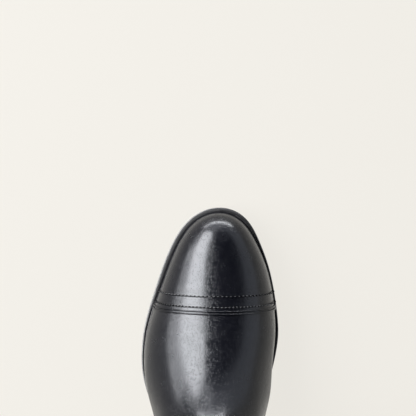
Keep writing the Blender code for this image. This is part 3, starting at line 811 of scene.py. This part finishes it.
def seam_grid(backs, columns):
    """Rows across the foot from the outer feather over the ridge to the inner one, tucked in at
    both ends. Returns the points and their normals."""
    turn = np.linspace(0, math.pi, columns)[None, :]
    climb = np.sin(turn)
    backs = np.asarray(backs, float)[:, None]
    outer, inner = row_points(backs, climb, OUTER), row_points(backs, climb, INNER)
    grid = np.where((turn < math.pi / 2)[..., None], outer, inner)
    grid = tuck(grid, -outward(grid, False))
    return grid, -outward(grid, False)


check_rows, check_normals = seam_grid([0, 1 * MM], 41)
print("ridge at the seam", np.round(check_rows[0, 20] / MM, 1), "normal", check_normals[0, 20])

# %% [markdown]
# ### The folded bands
# The two bands are narrow strips of leather, folded so that they stand up in a half-round. They
# could be curves with a bevel, but a round curve doesn't lie flat on a vamp that bends both ways.
# A swelling strip of the skin follows it exactly, and the groove between the two is the black line.

# %% The beads
BEAD_ARC = 11
BEAD_GROOVE = 0.36 * MM
BEAD_COLUMNS = 220


def make_bead(number):
    share = np.linspace(0, 1, BEAD_ARC)
    start = FIT_GAP + number * BEAD_SPACING + BEAD_GROOVE / 2
    grid, normals = seam_grid(start + share * (BEAD_WIDTH - BEAD_GROOVE), BEAD_COLUMNS)
    swell = (1 - (2 * share - 1) ** 2)[:, None, None] ** 0.5
    outer = grid + normals * (FIT_GAP + BEAD_THICKNESS * (0.05 + 0.95 * swell))
    inner = grid + normals * FIT_GAP
    faces = grid_faces(*grid.shape[:2])[:, ::-1].tolist()
    points, faces = shell(faces, outer.reshape(-1, 3), inner.reshape(-1, 3))
    name = f"cap_bead_{number + 1}"
    bead = new_piece(name, points, faces, [boot_leather])
    dress(bead, "cap_leather", name)


for number in range(BEAD_COUNT):
    make_bead(number)

# %% [markdown]
# ### The cap
# The cap is cut from one piece and pulled round the toe, so its faces have to run round the toe in
# front and straight along the seam behind. A single loft can't do both. The grid therefore has
# curved rings in front, and at a set distance from the seam it changes to rows beside it, so that
# the stitch troughs run true.

# %% The cap
CAP_RINGS = 96
CAP_TURNS = 64
CAP_ROWS = 56
CAP_ROW_REACH = 13 * MM
EDGE_ROUND = 0.8 * MM
STITCH_ROWS = [-1.6 * MM, -8.4 * MM]
STITCH_TROUGH = 0.2 * MM
STITCH_TROUGH_WIDTH = 0.75 * MM


def cap_grid():
    """The cap's skin. Each ring ends on the plane ahead of the stitch rows, where it takes a
    climb, and goes on in rows at that climb up to the seam."""
    turn = np.linspace(0, math.pi / 2, CAP_RINGS)
    climb = np.sin(turn)[:, None]
    backs = -CAP_ROW_REACH * (1 - np.linspace(0, 1, CAP_ROWS))[None, :] ** 1.35
    ridge_end = row_points(np.array([[-CAP_ROW_REACH]]), np.array([[1.0]]), OUTER)[0, 0]
    end_run = MIDDLE_RUN - ridge_end[1]
    forefoot = slice(CURVE_SAMPLES // 3)
    last_front = np.interp(-end_run, -front_runs[forefoot], front_along[forefoot])
    front_at = last_front * (turn / (math.pi / 2)) ** 0.9
    front_at = front_at[:, None]
    front_run = np.interp(front_at, front_along, front_runs)
    front_height = np.interp(front_at, front_along, front_heights)
    share = np.sin(np.linspace(0, math.pi / 2, CAP_TURNS))[None, ::-1] ** 2
    halves = []
    for side in (OUTER, INNER):
        rows = row_points(backs, climb, side)
        end = rows[:, :1]
        plane_run, plane_height = MIDDLE_RUN - end[..., 1], end[..., 2]
        run = mix(front_run, plane_run, share)
        straight = mix(feather(front_run), feather(plane_run), share)
        fade = (1 - climb) ** 2
        height = mix(front_height, plane_height, share) + (feather(run) - straight) * fade
        nose = placed(half_section(run, height, side), run, height)
        nose[:, 0] = end[:, 0]
        halves.append((nose, rows))
    (outer_nose, outer_rows), (inner_nose, inner_rows) = halves
    outer_nose[:, -1, 0] = inner_nose[:, -1, 0] = (outer_nose[:, -1, 0] + inner_nose[:, -1, 0]) / 2
    pieces = [outer_rows[:, ::-1], outer_nose[:, 1:], inner_nose[:, -2:0:-1], inner_rows]
    return np.concatenate(pieces, axis=1)


# %% The cap's thickness and mesh
def cap_thickness(points):
    """Full leather, rounded off at the folded edge and pressed in along the stitch rows."""
    lean = (points[:, 2] - SEAM_FOOT) * math.sin(CAP_LEAN)
    run = MIDDLE_RUN - points[:, 1]
    back = (SEAM_RUN - run) * math.cos(CAP_LEAN) - lean
    edge = np.clip((back + EDGE_ROUND) / EDGE_ROUND, 0, 1)
    thick = CAP_THICKNESS * np.sqrt(1 - 0.92 * edge**2)
    for row in STITCH_ROWS:
        thick = thick - STITCH_TROUGH * np.exp(-(((back - row) / STITCH_TROUGH_WIDTH) ** 2))
    return thick


def make_cap():
    grid = cap_grid()
    points, faces, _ = welded(grid, grid_faces(*grid.shape[:2]))
    normals = face_normals(points, faces)
    points = tuck(points, normals)
    outer = points + normals * (FIT_GAP + cap_thickness(points))[:, None]
    inner = points + normals * FIT_GAP
    points, faces = shell(faces, outer, inner)
    cap = new_piece("toe_cap", points, faces, [boot_leather])
    dress(cap, "cap_leather", "toe_cap")


make_cap()

# %% [markdown]
# ## Sole, welt and heel
# The sole's pieces are lofts of one outline, moved in and up by their own sizes. The welt is the
# strip that the eye sees round the toe: its outer edge is rounded, and a narrow gully runs beside
# the upper, where the awl draws the seam down. That gully is the black line round the boot.

# %% Loops round the sole
SOLE_COLUMNS = 420


def sole_turns():
    turn = np.linspace(0, 2 * math.pi, SOLE_COLUMNS, endpoint=False)
    return SOLE_LENGTH * (1 + np.cos(turn)) / 2, np.sin(turn) >= 0


def sole_loop():
    run, outer = sole_turns()
    across = np.where(outer, sole_edge(run, OUTER), sole_edge(run, INNER))
    return placed(across, run, 0 * run)


def inset_loop(loop, distance):
    """A loop moved inwards in plan by one distance, or by one for each point."""
    along = np.roll(loop, -1, axis=0) - np.roll(loop, 1, axis=0)
    inward = np.column_stack([-along[:, 1], along[:, 0], np.zeros(len(loop))])
    inward /= np.linalg.norm(inward, axis=1, keepdims=True)
    return loop + inward * np.reshape(distance, (-1, 1))


def with_height(loop, height_at, extra=0.0):
    raised = loop.copy()
    raised[:, 2] = height_at(MIDDLE_RUN - loop[:, 1]) + extra
    return raised


# %% The outsole
def strip_caps(count, first):
    """Strips that fill a loop, each joining a point to the one across from it."""
    faces = []
    for i in range(count // 2):
        corners = [first + k % count for k in (i, i + 1, -i - 1, -i)]
        faces.append(list(dict.fromkeys(corners)))
    return faces


def make_outsole():
    edge = sole_loop()
    bevel = 0.7 * MM
    groove = 0.25 * MM
    loops = [
        with_height(inset_loop(edge, 2 * bevel), sole_under),
        with_height(inset_loop(edge, bevel), sole_under, 0.02 * MM),
        with_height(inset_loop(edge, 0.3 * bevel), sole_under, 0.3 * bevel),
        with_height(edge, sole_under, bevel),
        with_height(edge, outsole_top, -1.5 * groove),
        with_height(inset_loop(edge, groove), outsole_top, -0.5 * groove),
        with_height(inset_loop(edge, 3 * groove), outsole_top),
    ]
    faces = grid_faces(len(loops), SOLE_COLUMNS, around=True).tolist()
    bottom = [face[::-1] for face in strip_caps(SOLE_COLUMNS, 0)]
    top = strip_caps(SOLE_COLUMNS, (len(loops) - 1) * SOLE_COLUMNS)
    points = np.concatenate(loops)
    outsole = new_piece("outsole", points, faces + bottom + top, [sole_rubber], sharp=50)
    dress(outsole, "sole_rubber", "outsole")


make_outsole()

# %% [markdown]
# ### The welt
# A welt is a strip with a square section, rounded off at its outer edge. One section swept round
# the sole would be simpler, but the welt shows by a different width at each place. So each loop is
# the sole's edge moved in by its own distance, and the loops of the gully follow how far it shows.

# %% The welt
GULLY_DEPTH = 0.8 * MM
GULLY_HALF = 0.55 * MM


def make_welt():
    edge = sole_loop()
    run, outer = sole_turns()
    show = np.where(outer, welt_show(run, OUTER), welt_show(run, INNER))
    bevel = 0.55 * MM
    gully = np.maximum(show - 0.25 * MM, 2.2 * bevel)
    slope = GULLY_HALF * np.clip(show / TOE_OVERHANG, 0.3, 1)
    table = [
        (WELT_WIDTH + 0 * show, outsole_top, FIT_GAP),
        (0.3 * bevel + 0 * show, outsole_top, FIT_GAP),
        (0 * show, outsole_top, FIT_GAP + 0.4 * bevel),
        (0 * show, welt_top, -bevel),
        (0.15 * bevel + 0 * show, welt_top, -0.5 * bevel),
        (0.5 * bevel + 0 * show, welt_top, -0.15 * bevel),
        (bevel + 0 * show, welt_top, 0.0),
        (gully - 1.9 * slope, welt_top, -0.03 * MM),
        (gully - 0.8 * slope, welt_top, -0.35 * GULLY_DEPTH),
        (gully, welt_top, -GULLY_DEPTH),
        (gully + 2 * GULLY_HALF, welt_top, -GULLY_DEPTH),
        (gully + 4 * GULLY_HALF, welt_top, -0.2 * MM),
        (WELT_WIDTH + 0 * show, welt_top, -0.1 * MM),
    ]
    loops = [with_height(inset_loop(edge, inset), top, extra) for inset, top, extra in table]
    faces = grid_faces(len(loops), SOLE_COLUMNS, around=True, closed=True)
    welt = new_piece("welt", np.concatenate(loops), faces, [edge_dressing], sharp=50)
    dress(welt, "welt_edge", "welt")


make_welt()

# %% [markdown]
# ### The heel
# A stacked heel narrows towards the floor and ends in a rubber piece. A box with its back rounded
# by a modifier would not follow the sole's edge. A loft of one D-shaped outline at a few heights
# does, and its top loop takes the sole's underside as its height, so the heel sits close under it.

# %% The heel
HEEL_POINTS = 121
HEEL_SEAT_INSET = 0.7 * MM


def heel_loop(inset, height_at, extra=0.0):
    """The heel's D-shaped outline: round at the back and straight across its breast."""
    share = np.linspace(-1, 1, HEEL_POINTS)
    run = HEEL_LENGTH * share**2
    across = np.where(share >= 0, sole_edge(run, OUTER), sole_edge(run, INNER))
    slim = 1 - inset / (0.5 * HEEL_WIDTH)
    run = inset + run * (1 - inset / HEEL_LENGTH)
    return with_height(placed(across * slim, run, 0 * run), height_at, extra)


def flat(height):
    return lambda run: height + 0 * run


def make_heel_piece(name, loops, material, slot):
    count = HEEL_POINTS
    faces = grid_faces(len(loops), count, around=True).tolist()
    ends = []
    for i in range(count // 2):
        ends.append(list(dict.fromkeys([i, i + 1, count - i - 2, count - i - 1])))
    top = (len(loops) - 1) * count
    faces = [face[::-1] for face in faces]
    faces += ends + [[corner + top for corner in reversed(face)] for face in ends]
    piece = new_piece(name, np.concatenate(loops), faces, [material], sharp=50)
    dress(piece, slot, name)


def make_heel():
    foot = TOP_PIECE_THICKNESS + FIT_GAP
    slope = HEEL_TAPER * (1 - foot / HEEL_HEIGHT)
    block = [heel_loop(slope, flat(foot)), heel_loop(HEEL_SEAT_INSET, sole_under, -FIT_GAP)]
    edge = 0.6 * MM
    top_piece = [
        heel_loop(HEEL_TAPER + edge, flat(0)),
        heel_loop(HEEL_TAPER + 0.3 * edge, flat(0.3 * edge)),
        heel_loop(HEEL_TAPER, flat(edge)),
        heel_loop(slope, flat(TOP_PIECE_THICKNESS)),
    ]
    make_heel_piece("heel_block", block, heel_edge, "heel_stack")
    make_heel_piece("heel_top_piece", top_piece, sole_rubber, "sole_rubber")


make_heel()

# %% [markdown]
# ### The insole
# Only its top is seen, down the shaft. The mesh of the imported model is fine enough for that, so it
# stays as it is and only gets its own leather.

# %% The insole keeps its CAD mesh
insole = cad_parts["insole"]
insole.data.materials.clear()
insole.data.materials.append(sock_leather)

# %% [markdown]
# ## The back strip
# A narrow strip covers the seam that closes the shaft. It could be a flat ribbon wrapped onto the
# shaft with a Shrinkwrap modifier. It is read from the skin instead, at equal widths: at each
# height the run is found by halving, where the skin is just that far from the middle.

# %% The back strip
STRIP_ROWS = 150
STRIP_COLUMNS = 25
STRIP_STITCH_COLUMN = 3
HALVINGS = 40


def back_grid():
    bottom, top = float(feather(HEEL_SET)) + FIT_GAP, COLLAR_HEIGHT - FIT_GAP
    height = np.linspace(bottom, top, STRIP_ROWS)[:, None]
    wanted = np.linspace(-1, 1, STRIP_COLUMNS)[None, :] * BACK_STRIP_WIDTH / 2
    low = np.interp(height, back_heights, back_runs) + 0 * wanted
    high = low + leg_back(height)
    for _ in range(HALVINGS):
        run = (low + high) / 2
        outer, inner = half_section(run, height, OUTER), -half_section(run, height, INNER)
        short = np.where(wanted >= 0, outer, inner) < np.abs(wanted)
        low, high = np.where(short, run, low), np.where(short, high, run)
    grid = placed(wanted + 0 * run, run, height + 0 * run)
    return tuck(grid, -outward(grid, False))


def make_back_strip():
    grid = back_grid()
    normals = -outward(grid, False)
    across = np.abs(np.linspace(-1, 1, STRIP_COLUMNS)) * BACK_STRIP_WIDTH / 2
    edge = np.clip((across - BACK_STRIP_WIDTH / 2 + EDGE_ROUND) / EDGE_ROUND, 0, 1)
    thick = BACK_STRIP_THICKNESS * np.sqrt(1 - 0.92 * edge**2)
    outer = grid + normals * (FIT_GAP + thick)[None, :, None]
    faces = grid_faces(*grid.shape[:2])[:, ::-1].tolist()
    inner = grid + normals * FIT_GAP
    points, faces = shell(faces, outer.reshape(-1, 3), inner.reshape(-1, 3))
    strip = new_piece("back_strip", points, faces, [boot_leather])
    dress(strip, "upper_leather", "back_strip")
    return grid, normals


strip_grid, strip_normals = make_back_strip()
print("strip normal", strip_normals[10, STRIP_COLUMNS // 2])

# %% [markdown]
# ## Stitches
# Each row of stitches repeats one small arc of thread along a path that lies in a trough of the
# leather. Geometry Nodes walk the path at the stitch's pitch and set an arc at every step, turned
# to the path and to the leather. Both ends of an arc dive below the surface, as real thread does.

# %% A Geometry Nodes tree for stitches


def stitch_tree():
    tree = bpy.data.node_groups.new("stitches", "GeometryNodeTree")
    sockets = tree.interface
    sockets.new_socket("Path", in_out="INPUT", socket_type="NodeSocketGeometry")
    for name in ("Pitch", "Reach", "Thread", "Rise", "Slant"):
        sockets.new_socket(name, in_out="INPUT", socket_type="NodeSocketFloat")
    sockets.new_socket("Finish", in_out="INPUT", socket_type="NodeSocketMaterial")
    sockets.new_socket("Stitches", in_out="OUTPUT", socket_type="NodeSocketGeometry")
    given = tree.nodes.new("NodeGroupInput")
    result = tree.nodes.new("NodeGroupOutput")

    def half_of(name, factor):
        half = add_node(tree, "ShaderNodeMath", {"operation": "MULTIPLY"})
        half.inputs[1].default_value = factor
        tree.links.new(given.outputs[name], half.inputs[0])
        return half.outputs[0]

    def corner(x, y, z):
        node = tree.nodes.new("ShaderNodeCombineXYZ")
        for socket, value in zip(node.inputs, (x, y, z)):
            if value is not None:
                tree.links.new(value, socket)
        return node.outputs[0]

    arc = add_node(tree, "GeometryNodeCurveQuadraticBezier", Resolution=6)
    start = corner(half_of("Reach", -0.5), half_of("Slant", -0.5), half_of("Rise", -1.0))
    end = corner(half_of("Reach", 0.5), half_of("Slant", 0.5), half_of("Rise", -1.0))
    middle = corner(None, None, half_of("Rise", 3.0))
    tree.links.new(start, arc.inputs["Start"])
    tree.links.new(middle, arc.inputs["Middle"])
    tree.links.new(end, arc.inputs["End"])
    ring = add_node(tree, "GeometryNodeCurvePrimitiveCircle", Resolution=6)
    tree.links.new(given.outputs["Thread"], ring.inputs["Radius"])
    thread = add_node(tree, "GeometryNodeCurveToMesh", Fill_Caps=True)
    tree.links.new(arc.outputs["Curve"], thread.inputs["Curve"])
    tree.links.new(ring.outputs["Curve"], thread.inputs["Profile Curve"])
    path = tree.nodes.new("GeometryNodeMeshToCurve")
    steps = add_node(tree, "GeometryNodeResampleCurve", {"mode": "LENGTH"})
    tree.links.new(given.outputs["Path"], path.inputs["Mesh"])
    tree.links.new(path.outputs["Curve"], steps.inputs["Curve"])
    tree.links.new(given.outputs["Pitch"], steps.inputs["Length"])
    vector = {"data_type": "FLOAT_VECTOR"}
    away = add_node(tree, "GeometryNodeInputNamedAttribute", vector, Name="away")
    tangent = tree.nodes.new("GeometryNodeInputTangent")
    axes = {"primary_axis": "Z", "secondary_axis": "X"}
    turn = add_node(tree, "FunctionNodeAxesToRotation", axes)
    tree.links.new(away.outputs["Attribute"], turn.inputs["Primary Axis"])
    tree.links.new(tangent.outputs["Tangent"], turn.inputs["Secondary Axis"])
    each = tree.nodes.new("GeometryNodeInstanceOnPoints")
    tree.links.new(steps.outputs["Curve"], each.inputs["Points"])
    tree.links.new(thread.outputs["Mesh"], each.inputs["Instance"])
    tree.links.new(turn.outputs["Rotation"], each.inputs["Rotation"])
    real = tree.nodes.new("GeometryNodeRealizeInstances")
    finish = tree.nodes.new("GeometryNodeSetMaterial")
    tree.links.new(each.outputs["Instances"], real.inputs["Geometry"])
    tree.links.new(real.outputs["Geometry"], finish.inputs["Geometry"])
    tree.links.new(given.outputs["Finish"], finish.inputs["Material"])
    tree.links.new(finish.outputs["Geometry"], result.inputs["Stitches"])
    return tree


stitches = stitch_tree()
print("stitch tree:", len(stitches.nodes), "nodes")

# %% [markdown]
# ### Rows of stitches
# A path of points is given to the tree, and every point carries the direction away from the
# leather, so an arc is never laid on its side. The needle holes are painted shade: short black
# stubs of the same tree, laid half a pitch further along, stand in for the shadow in each hole.
# Afterwards each row is kept as a plain mesh.

# %% Rows of stitches


def path_object(name, paths):
    """Edges along each path, with the leather's outward direction kept at every point."""
    points, edges, away = [], [], []
    for line, normals in paths:
        first = len(points)
        points += line.tolist()
        away += normals.tolist()
        edges += [(first + k, first + k + 1) for k in range(len(line) - 1)]
    mesh = bpy.data.meshes.new(name)
    mesh.from_pydata(points, edges, [])
    attribute = mesh.attributes.new("away", "FLOAT_VECTOR", "POINT")
    attribute.data.foreach_set("vector", np.asarray(away, np.float32).ravel())
    path = bpy.data.objects.new(name, mesh)
    bpy.context.scene.collection.objects.link(path)
    return path


def later(path, distance):
    """The same path without its first stretch."""
    line, normals = path
    steps = np.linalg.norm(np.diff(line, axis=0), axis=1)
    along = np.concatenate([[0], np.cumsum(steps)])
    first = int(np.searchsorted(along, distance))
    share = (along[first] - distance) / steps[first - 1]
    start = mix(line[first], line[first - 1], share)
    return np.concatenate([[start], line[first:]]), normals[first - 1 :]


# %% Sewing along the paths
# Size of the black stubs that paint the shade inside each needle hole.
HOLE = 0.42 * MM


def sew(name, paths, slot, pitch, reach, thread=0.26 * MM, rise=0.16 * MM, slant=0.4 * MM):
    """Rows of stitches with a black stub of painted hole shade between each two."""
    set_along(name, paths, slot, pitch, reach, thread, rise, slant, waxed_thread)
    shifted = [later(path, pitch / 2) for path in paths]
    set_along(name + "_holes", shifted, slot, pitch, 2.3 * HOLE, HOLE, 0.02 * MM, 0.0, painted_hole_shade)


def set_along(name, paths, slot, pitch, reach, thread, rise, slant, finish):
    """Sets short lengths of thread, or black stubs of painted hole shade, along paths and keeps them
    as a plain mesh.
    """
    source = path_object(name + "_path", paths)
    modifier = source.modifiers.new("stitches", "NODES")
    modifier.node_group = stitches
    sizes = {"Pitch": pitch, "Reach": reach, "Thread": thread, "Rise": rise, "Slant": slant}
    sizes["Finish"] = finish
    for item in stitches.interface.items_tree:
        if item.item_type == "SOCKET" and item.name in sizes:
            modifier[item.identifier] = sizes[item.name]
    graph = bpy.context.evaluated_depsgraph_get()
    mesh = bpy.data.meshes.new_from_object(source.evaluated_get(graph))
    bpy.data.objects.remove(source, do_unlink=True)
    mesh.name = name
    mesh.shade_smooth()
    piece = bpy.data.objects.new(name, mesh)
    bpy.context.scene.collection.objects.link(piece)
    dress(piece, slot)


# %% Rows on the cap
def cap_row(back, columns=260):
    """A path along the cap at a distance back from its seam, in the stitch trough."""
    backs = [back - 0.3 * MM, back, back + 0.3 * MM]
    grid, normals = seam_grid(backs, columns)
    lift = FIT_GAP + CAP_THICKNESS - STITCH_TROUGH + 0.05 * MM
    margin = 4
    line = (grid + normals * lift)[1, margin:-margin]
    return line, normals[1, margin:-margin]


sew("stitches_cap_edge", [cap_row(STITCH_ROWS[0])], "cap_leather", pitch=2.5 * MM, reach=1.5 * MM)
sew("stitches_cap_front", [cap_row(STITCH_ROWS[1])], "cap_leather", pitch=2.8 * MM, reach=1.8 * MM)


# %% Rows on the back strip
def strip_row(side):
    last = STRIP_COLUMNS - 1
    column = STRIP_STITCH_COLUMN if side == INNER else last - STRIP_STITCH_COLUMN
    line, normals = strip_grid[2:-2, column], strip_normals[2:-2, column]
    lift = FIT_GAP + BACK_STRIP_THICKNESS + 0.03 * MM
    return line + normals * lift, normals


strip_rows = [strip_row(INNER), strip_row(OUTER)]
sew("stitches_back_strip", strip_rows, "upper_leather", pitch=3 * MM, reach=2.3 * MM)

# %% [markdown]
# ### The collar's row
# The collar is sewn through once round, which holds the lining. Its path is a ring of the skin,
# moved a little down, and it uses the same tree as the other rows.

# %% Stitches below the collar
COLLAR_STITCH_DROP = 4 * MM


def collar_row():
    """A closed path round the shaft, just below its collar."""
    top, below = skin[-1], skin[-3]
    share = COLLAR_STITCH_DROP / np.linalg.norm(top - below, axis=1, keepdims=True)
    line = mix(top, below, share) + skin_out[-2] * 0.05 * MM
    return np.concatenate([line, line[:1]]), np.concatenate([skin_out[-2], skin_out[-2][:1]])


sew("stitches_collar", [collar_row()], "upper_leather", pitch=3.2 * MM, reach=2.4 * MM)

# %% [markdown]
# ## Floor
# The boot stands on a plain pale sheet of paper. Lit paper would be brightest below the lamps, but
# here it should look the same all over. So it gives most of its brightness itself, and takes only a
# little from the lamps, enough for a soft shadow beside the boot.

# %% Floor
FLOOR_HALF = 8.0
PAPER_TONE = (0.888, 0.863, 0.807)
PAPER_DIFFUSE = 0.02
PAPER_GLOW = 0.895


def make_floor():
    corners = [(x * FLOOR_HALF, y * FLOOR_HALF, 0) for x, y in ((-1, -1), (1, -1), (1, 1), (-1, 1))]
    mesh = bpy.data.meshes.new("floor")
    mesh.from_pydata(corners, [], [(0, 1, 2, 3)])
    material, _, shader = new_material("floor_paper")
    shader.inputs["Base Color"].default_value = (*(PAPER_DIFFUSE * tone for tone in PAPER_TONE), 1)
    shader.inputs["Roughness"].default_value = 0.9
    shader.inputs["Specular IOR Level"].default_value = 0.0
    shader.inputs["Emission Color"].default_value = (*PAPER_TONE, 1)
    shader.inputs["Emission Strength"].default_value = PAPER_GLOW
    mesh.materials.append(material)
    floor = bpy.data.objects.new("floor", mesh)
    bpy.context.scene.collection.objects.link(floor)


make_floor()
print("floor", 2 * FLOOR_HALF, "m wide")

# %% [markdown]
# ### Walls and ceiling
# Black leather mirrors the whole studio. A dark ceiling keeps the middle of the boot black, and
# pale walls fill its flanks with grey. The wall on the outer side is darker, so that this flank
# stays dark below the band. Walls could be large panels, but a world whose colour changes with the
# direction needs no mesh and never stands in a lamp's way.

# %% Walls and ceiling
WALL_TOP = math.sin(math.radians(30))
CEILING_START = math.sin(math.radians(37))
CEILING_TONE = (0.024, 0.026, 0.030)
WALL_TONE = (1.70, 1.77, 1.92)
OUTER_WALL_TONE = (0.20, 0.21, 0.235)
# A Mix node's colour sockets have the same names as its number sockets, so they go by their place.
COLOUR_A, COLOUR_B, COLOUR_RESULT = 6, 7, 2


def make_studio():
    """A world that is pale up to the walls' top and dark above it."""
    world = bpy.data.worlds.new("studio")
    world.use_nodes = True
    tree = world.node_tree
    direction = tree.nodes.new("ShaderNodeTexCoord")
    parts = tree.nodes.new("ShaderNodeSeparateXYZ")
    joined(tree, direction, "Generated", parts, "Vector")
    height = add_node(tree, "ShaderNodeMapRange", SOFT_STEP)
    height.inputs["From Min"].default_value = WALL_TOP
    height.inputs["From Max"].default_value = CEILING_START
    joined(tree, parts, "Z", height, "Value")
    sides = add_node(tree, "ShaderNodeMapRange", SOFT_STEP, From_Min=0.1, From_Max=0.8)
    joined(tree, parts, "X", sides, "Value")
    wall = add_node(tree, "ShaderNodeMix", {"data_type": "RGBA"})
    wall.inputs[COLOUR_A].default_value = (*WALL_TONE, 1)
    wall.inputs[COLOUR_B].default_value = (*OUTER_WALL_TONE, 1)
    joined(tree, sides, "Result", wall, "Factor")
    tone = add_node(tree, "ShaderNodeMix", {"data_type": "RGBA"})
    tree.links.new(wall.outputs[COLOUR_RESULT], tone.inputs[COLOUR_A])
    tone.inputs[COLOUR_B].default_value = (*CEILING_TONE, 1)
    joined(tree, height, "Result", tone, "Factor")
    background = tree.nodes["Background"]
    tree.links.new(tone.outputs[COLOUR_RESULT], background.inputs["Color"])
    background.inputs["Strength"].default_value = 1.0
    bpy.context.scene.world = world


make_studio()
bpy.context.scene.view_settings.view_transform = "Standard"
print("studio: walls", WALL_TONE, "ceiling", CEILING_TONE)

# %% [markdown]
# ### Softboxes
# The bright band down the vamp is the mirror image of lamps, and its edges are their edges. Two
# tall softboxes on the outer side, one beside the boot and one in front of that, give its core.
# A weaker one hangs below each, so that the band fades towards the sole. A weak panel in front
# lifts the instep, and a low strip draws the glint round the toe. Sun lamps or points would leave
# hard spots. A lamp is given by the brightness of its face, which a change of size leaves alone.

# %% Softboxes


def hang_lamp(name, size, radiance, place):
    """A rectangular light. Radiance is how bright its face is."""
    data = bpy.data.lights.new(name, "AREA")
    data.shape = "RECTANGLE"
    data.size, data.size_y = size
    data.energy = radiance * math.pi * size[0] * size[1]
    lamp = bpy.data.objects.new(name, data)
    lamp.matrix_world = place
    bpy.context.scene.collection.objects.link(lamp)


def add_softbox(name, low, high, near, far, radiance):
    """A lamp parallel to the boot. Low and high are (x, z) of its lower and upper edges, near and
    far are its ends in y."""
    middle = Vector(((low[0] + high[0]) / 2, (near + far) / 2, (low[1] + high[1]) / 2))
    along = Vector((0, 1, 0))
    upward = Vector((high[0] - low[0], 0, high[1] - low[1])).normalized()
    face = along.cross(upward)
    if face.dot(middle) < 0:
        along, face = -along, -face
    turned = Matrix((along, upward, face)).transposed().to_4x4()
    size = (near - far, math.dist(low, high))
    hang_lamp(name, size, radiance, Matrix.Translation(middle) @ turned)


add_softbox("side_softbox", (1.02, 0.48), (0.52, 0.98), 0.15, -0.60, 34)
add_softbox("low_side_softbox", (1.25, 0.08), (1.02, 0.48), -0.41, -0.56, 17)
add_softbox("front_softbox", (0.98, 0.54), (0.40, 1.05), -0.60, -1.25, 34)
add_softbox("low_front_softbox", (1.22, 0.20), (0.98, 0.54), -0.62, -1.45, 4)


def add_facing_light(name, place, target, size, radiance):
    """A lamp that looks at a point. Its first size is its level one."""
    look = (Vector(target) - Vector(place)).to_track_quat("-Z", "Y")
    hang_lamp(name, size, radiance, Matrix.Translation(place) @ look.to_matrix().to_4x4())


add_facing_light("instep_fill", (0.20, -1.75, 0.85), (0, -0.1, 0.06), (0.7, 0.45), 4)
add_facing_light("toe_strip", (0.0, -2.5, 0.12), (0, -0.1, 0.03), (3.4, 0.24), 52)
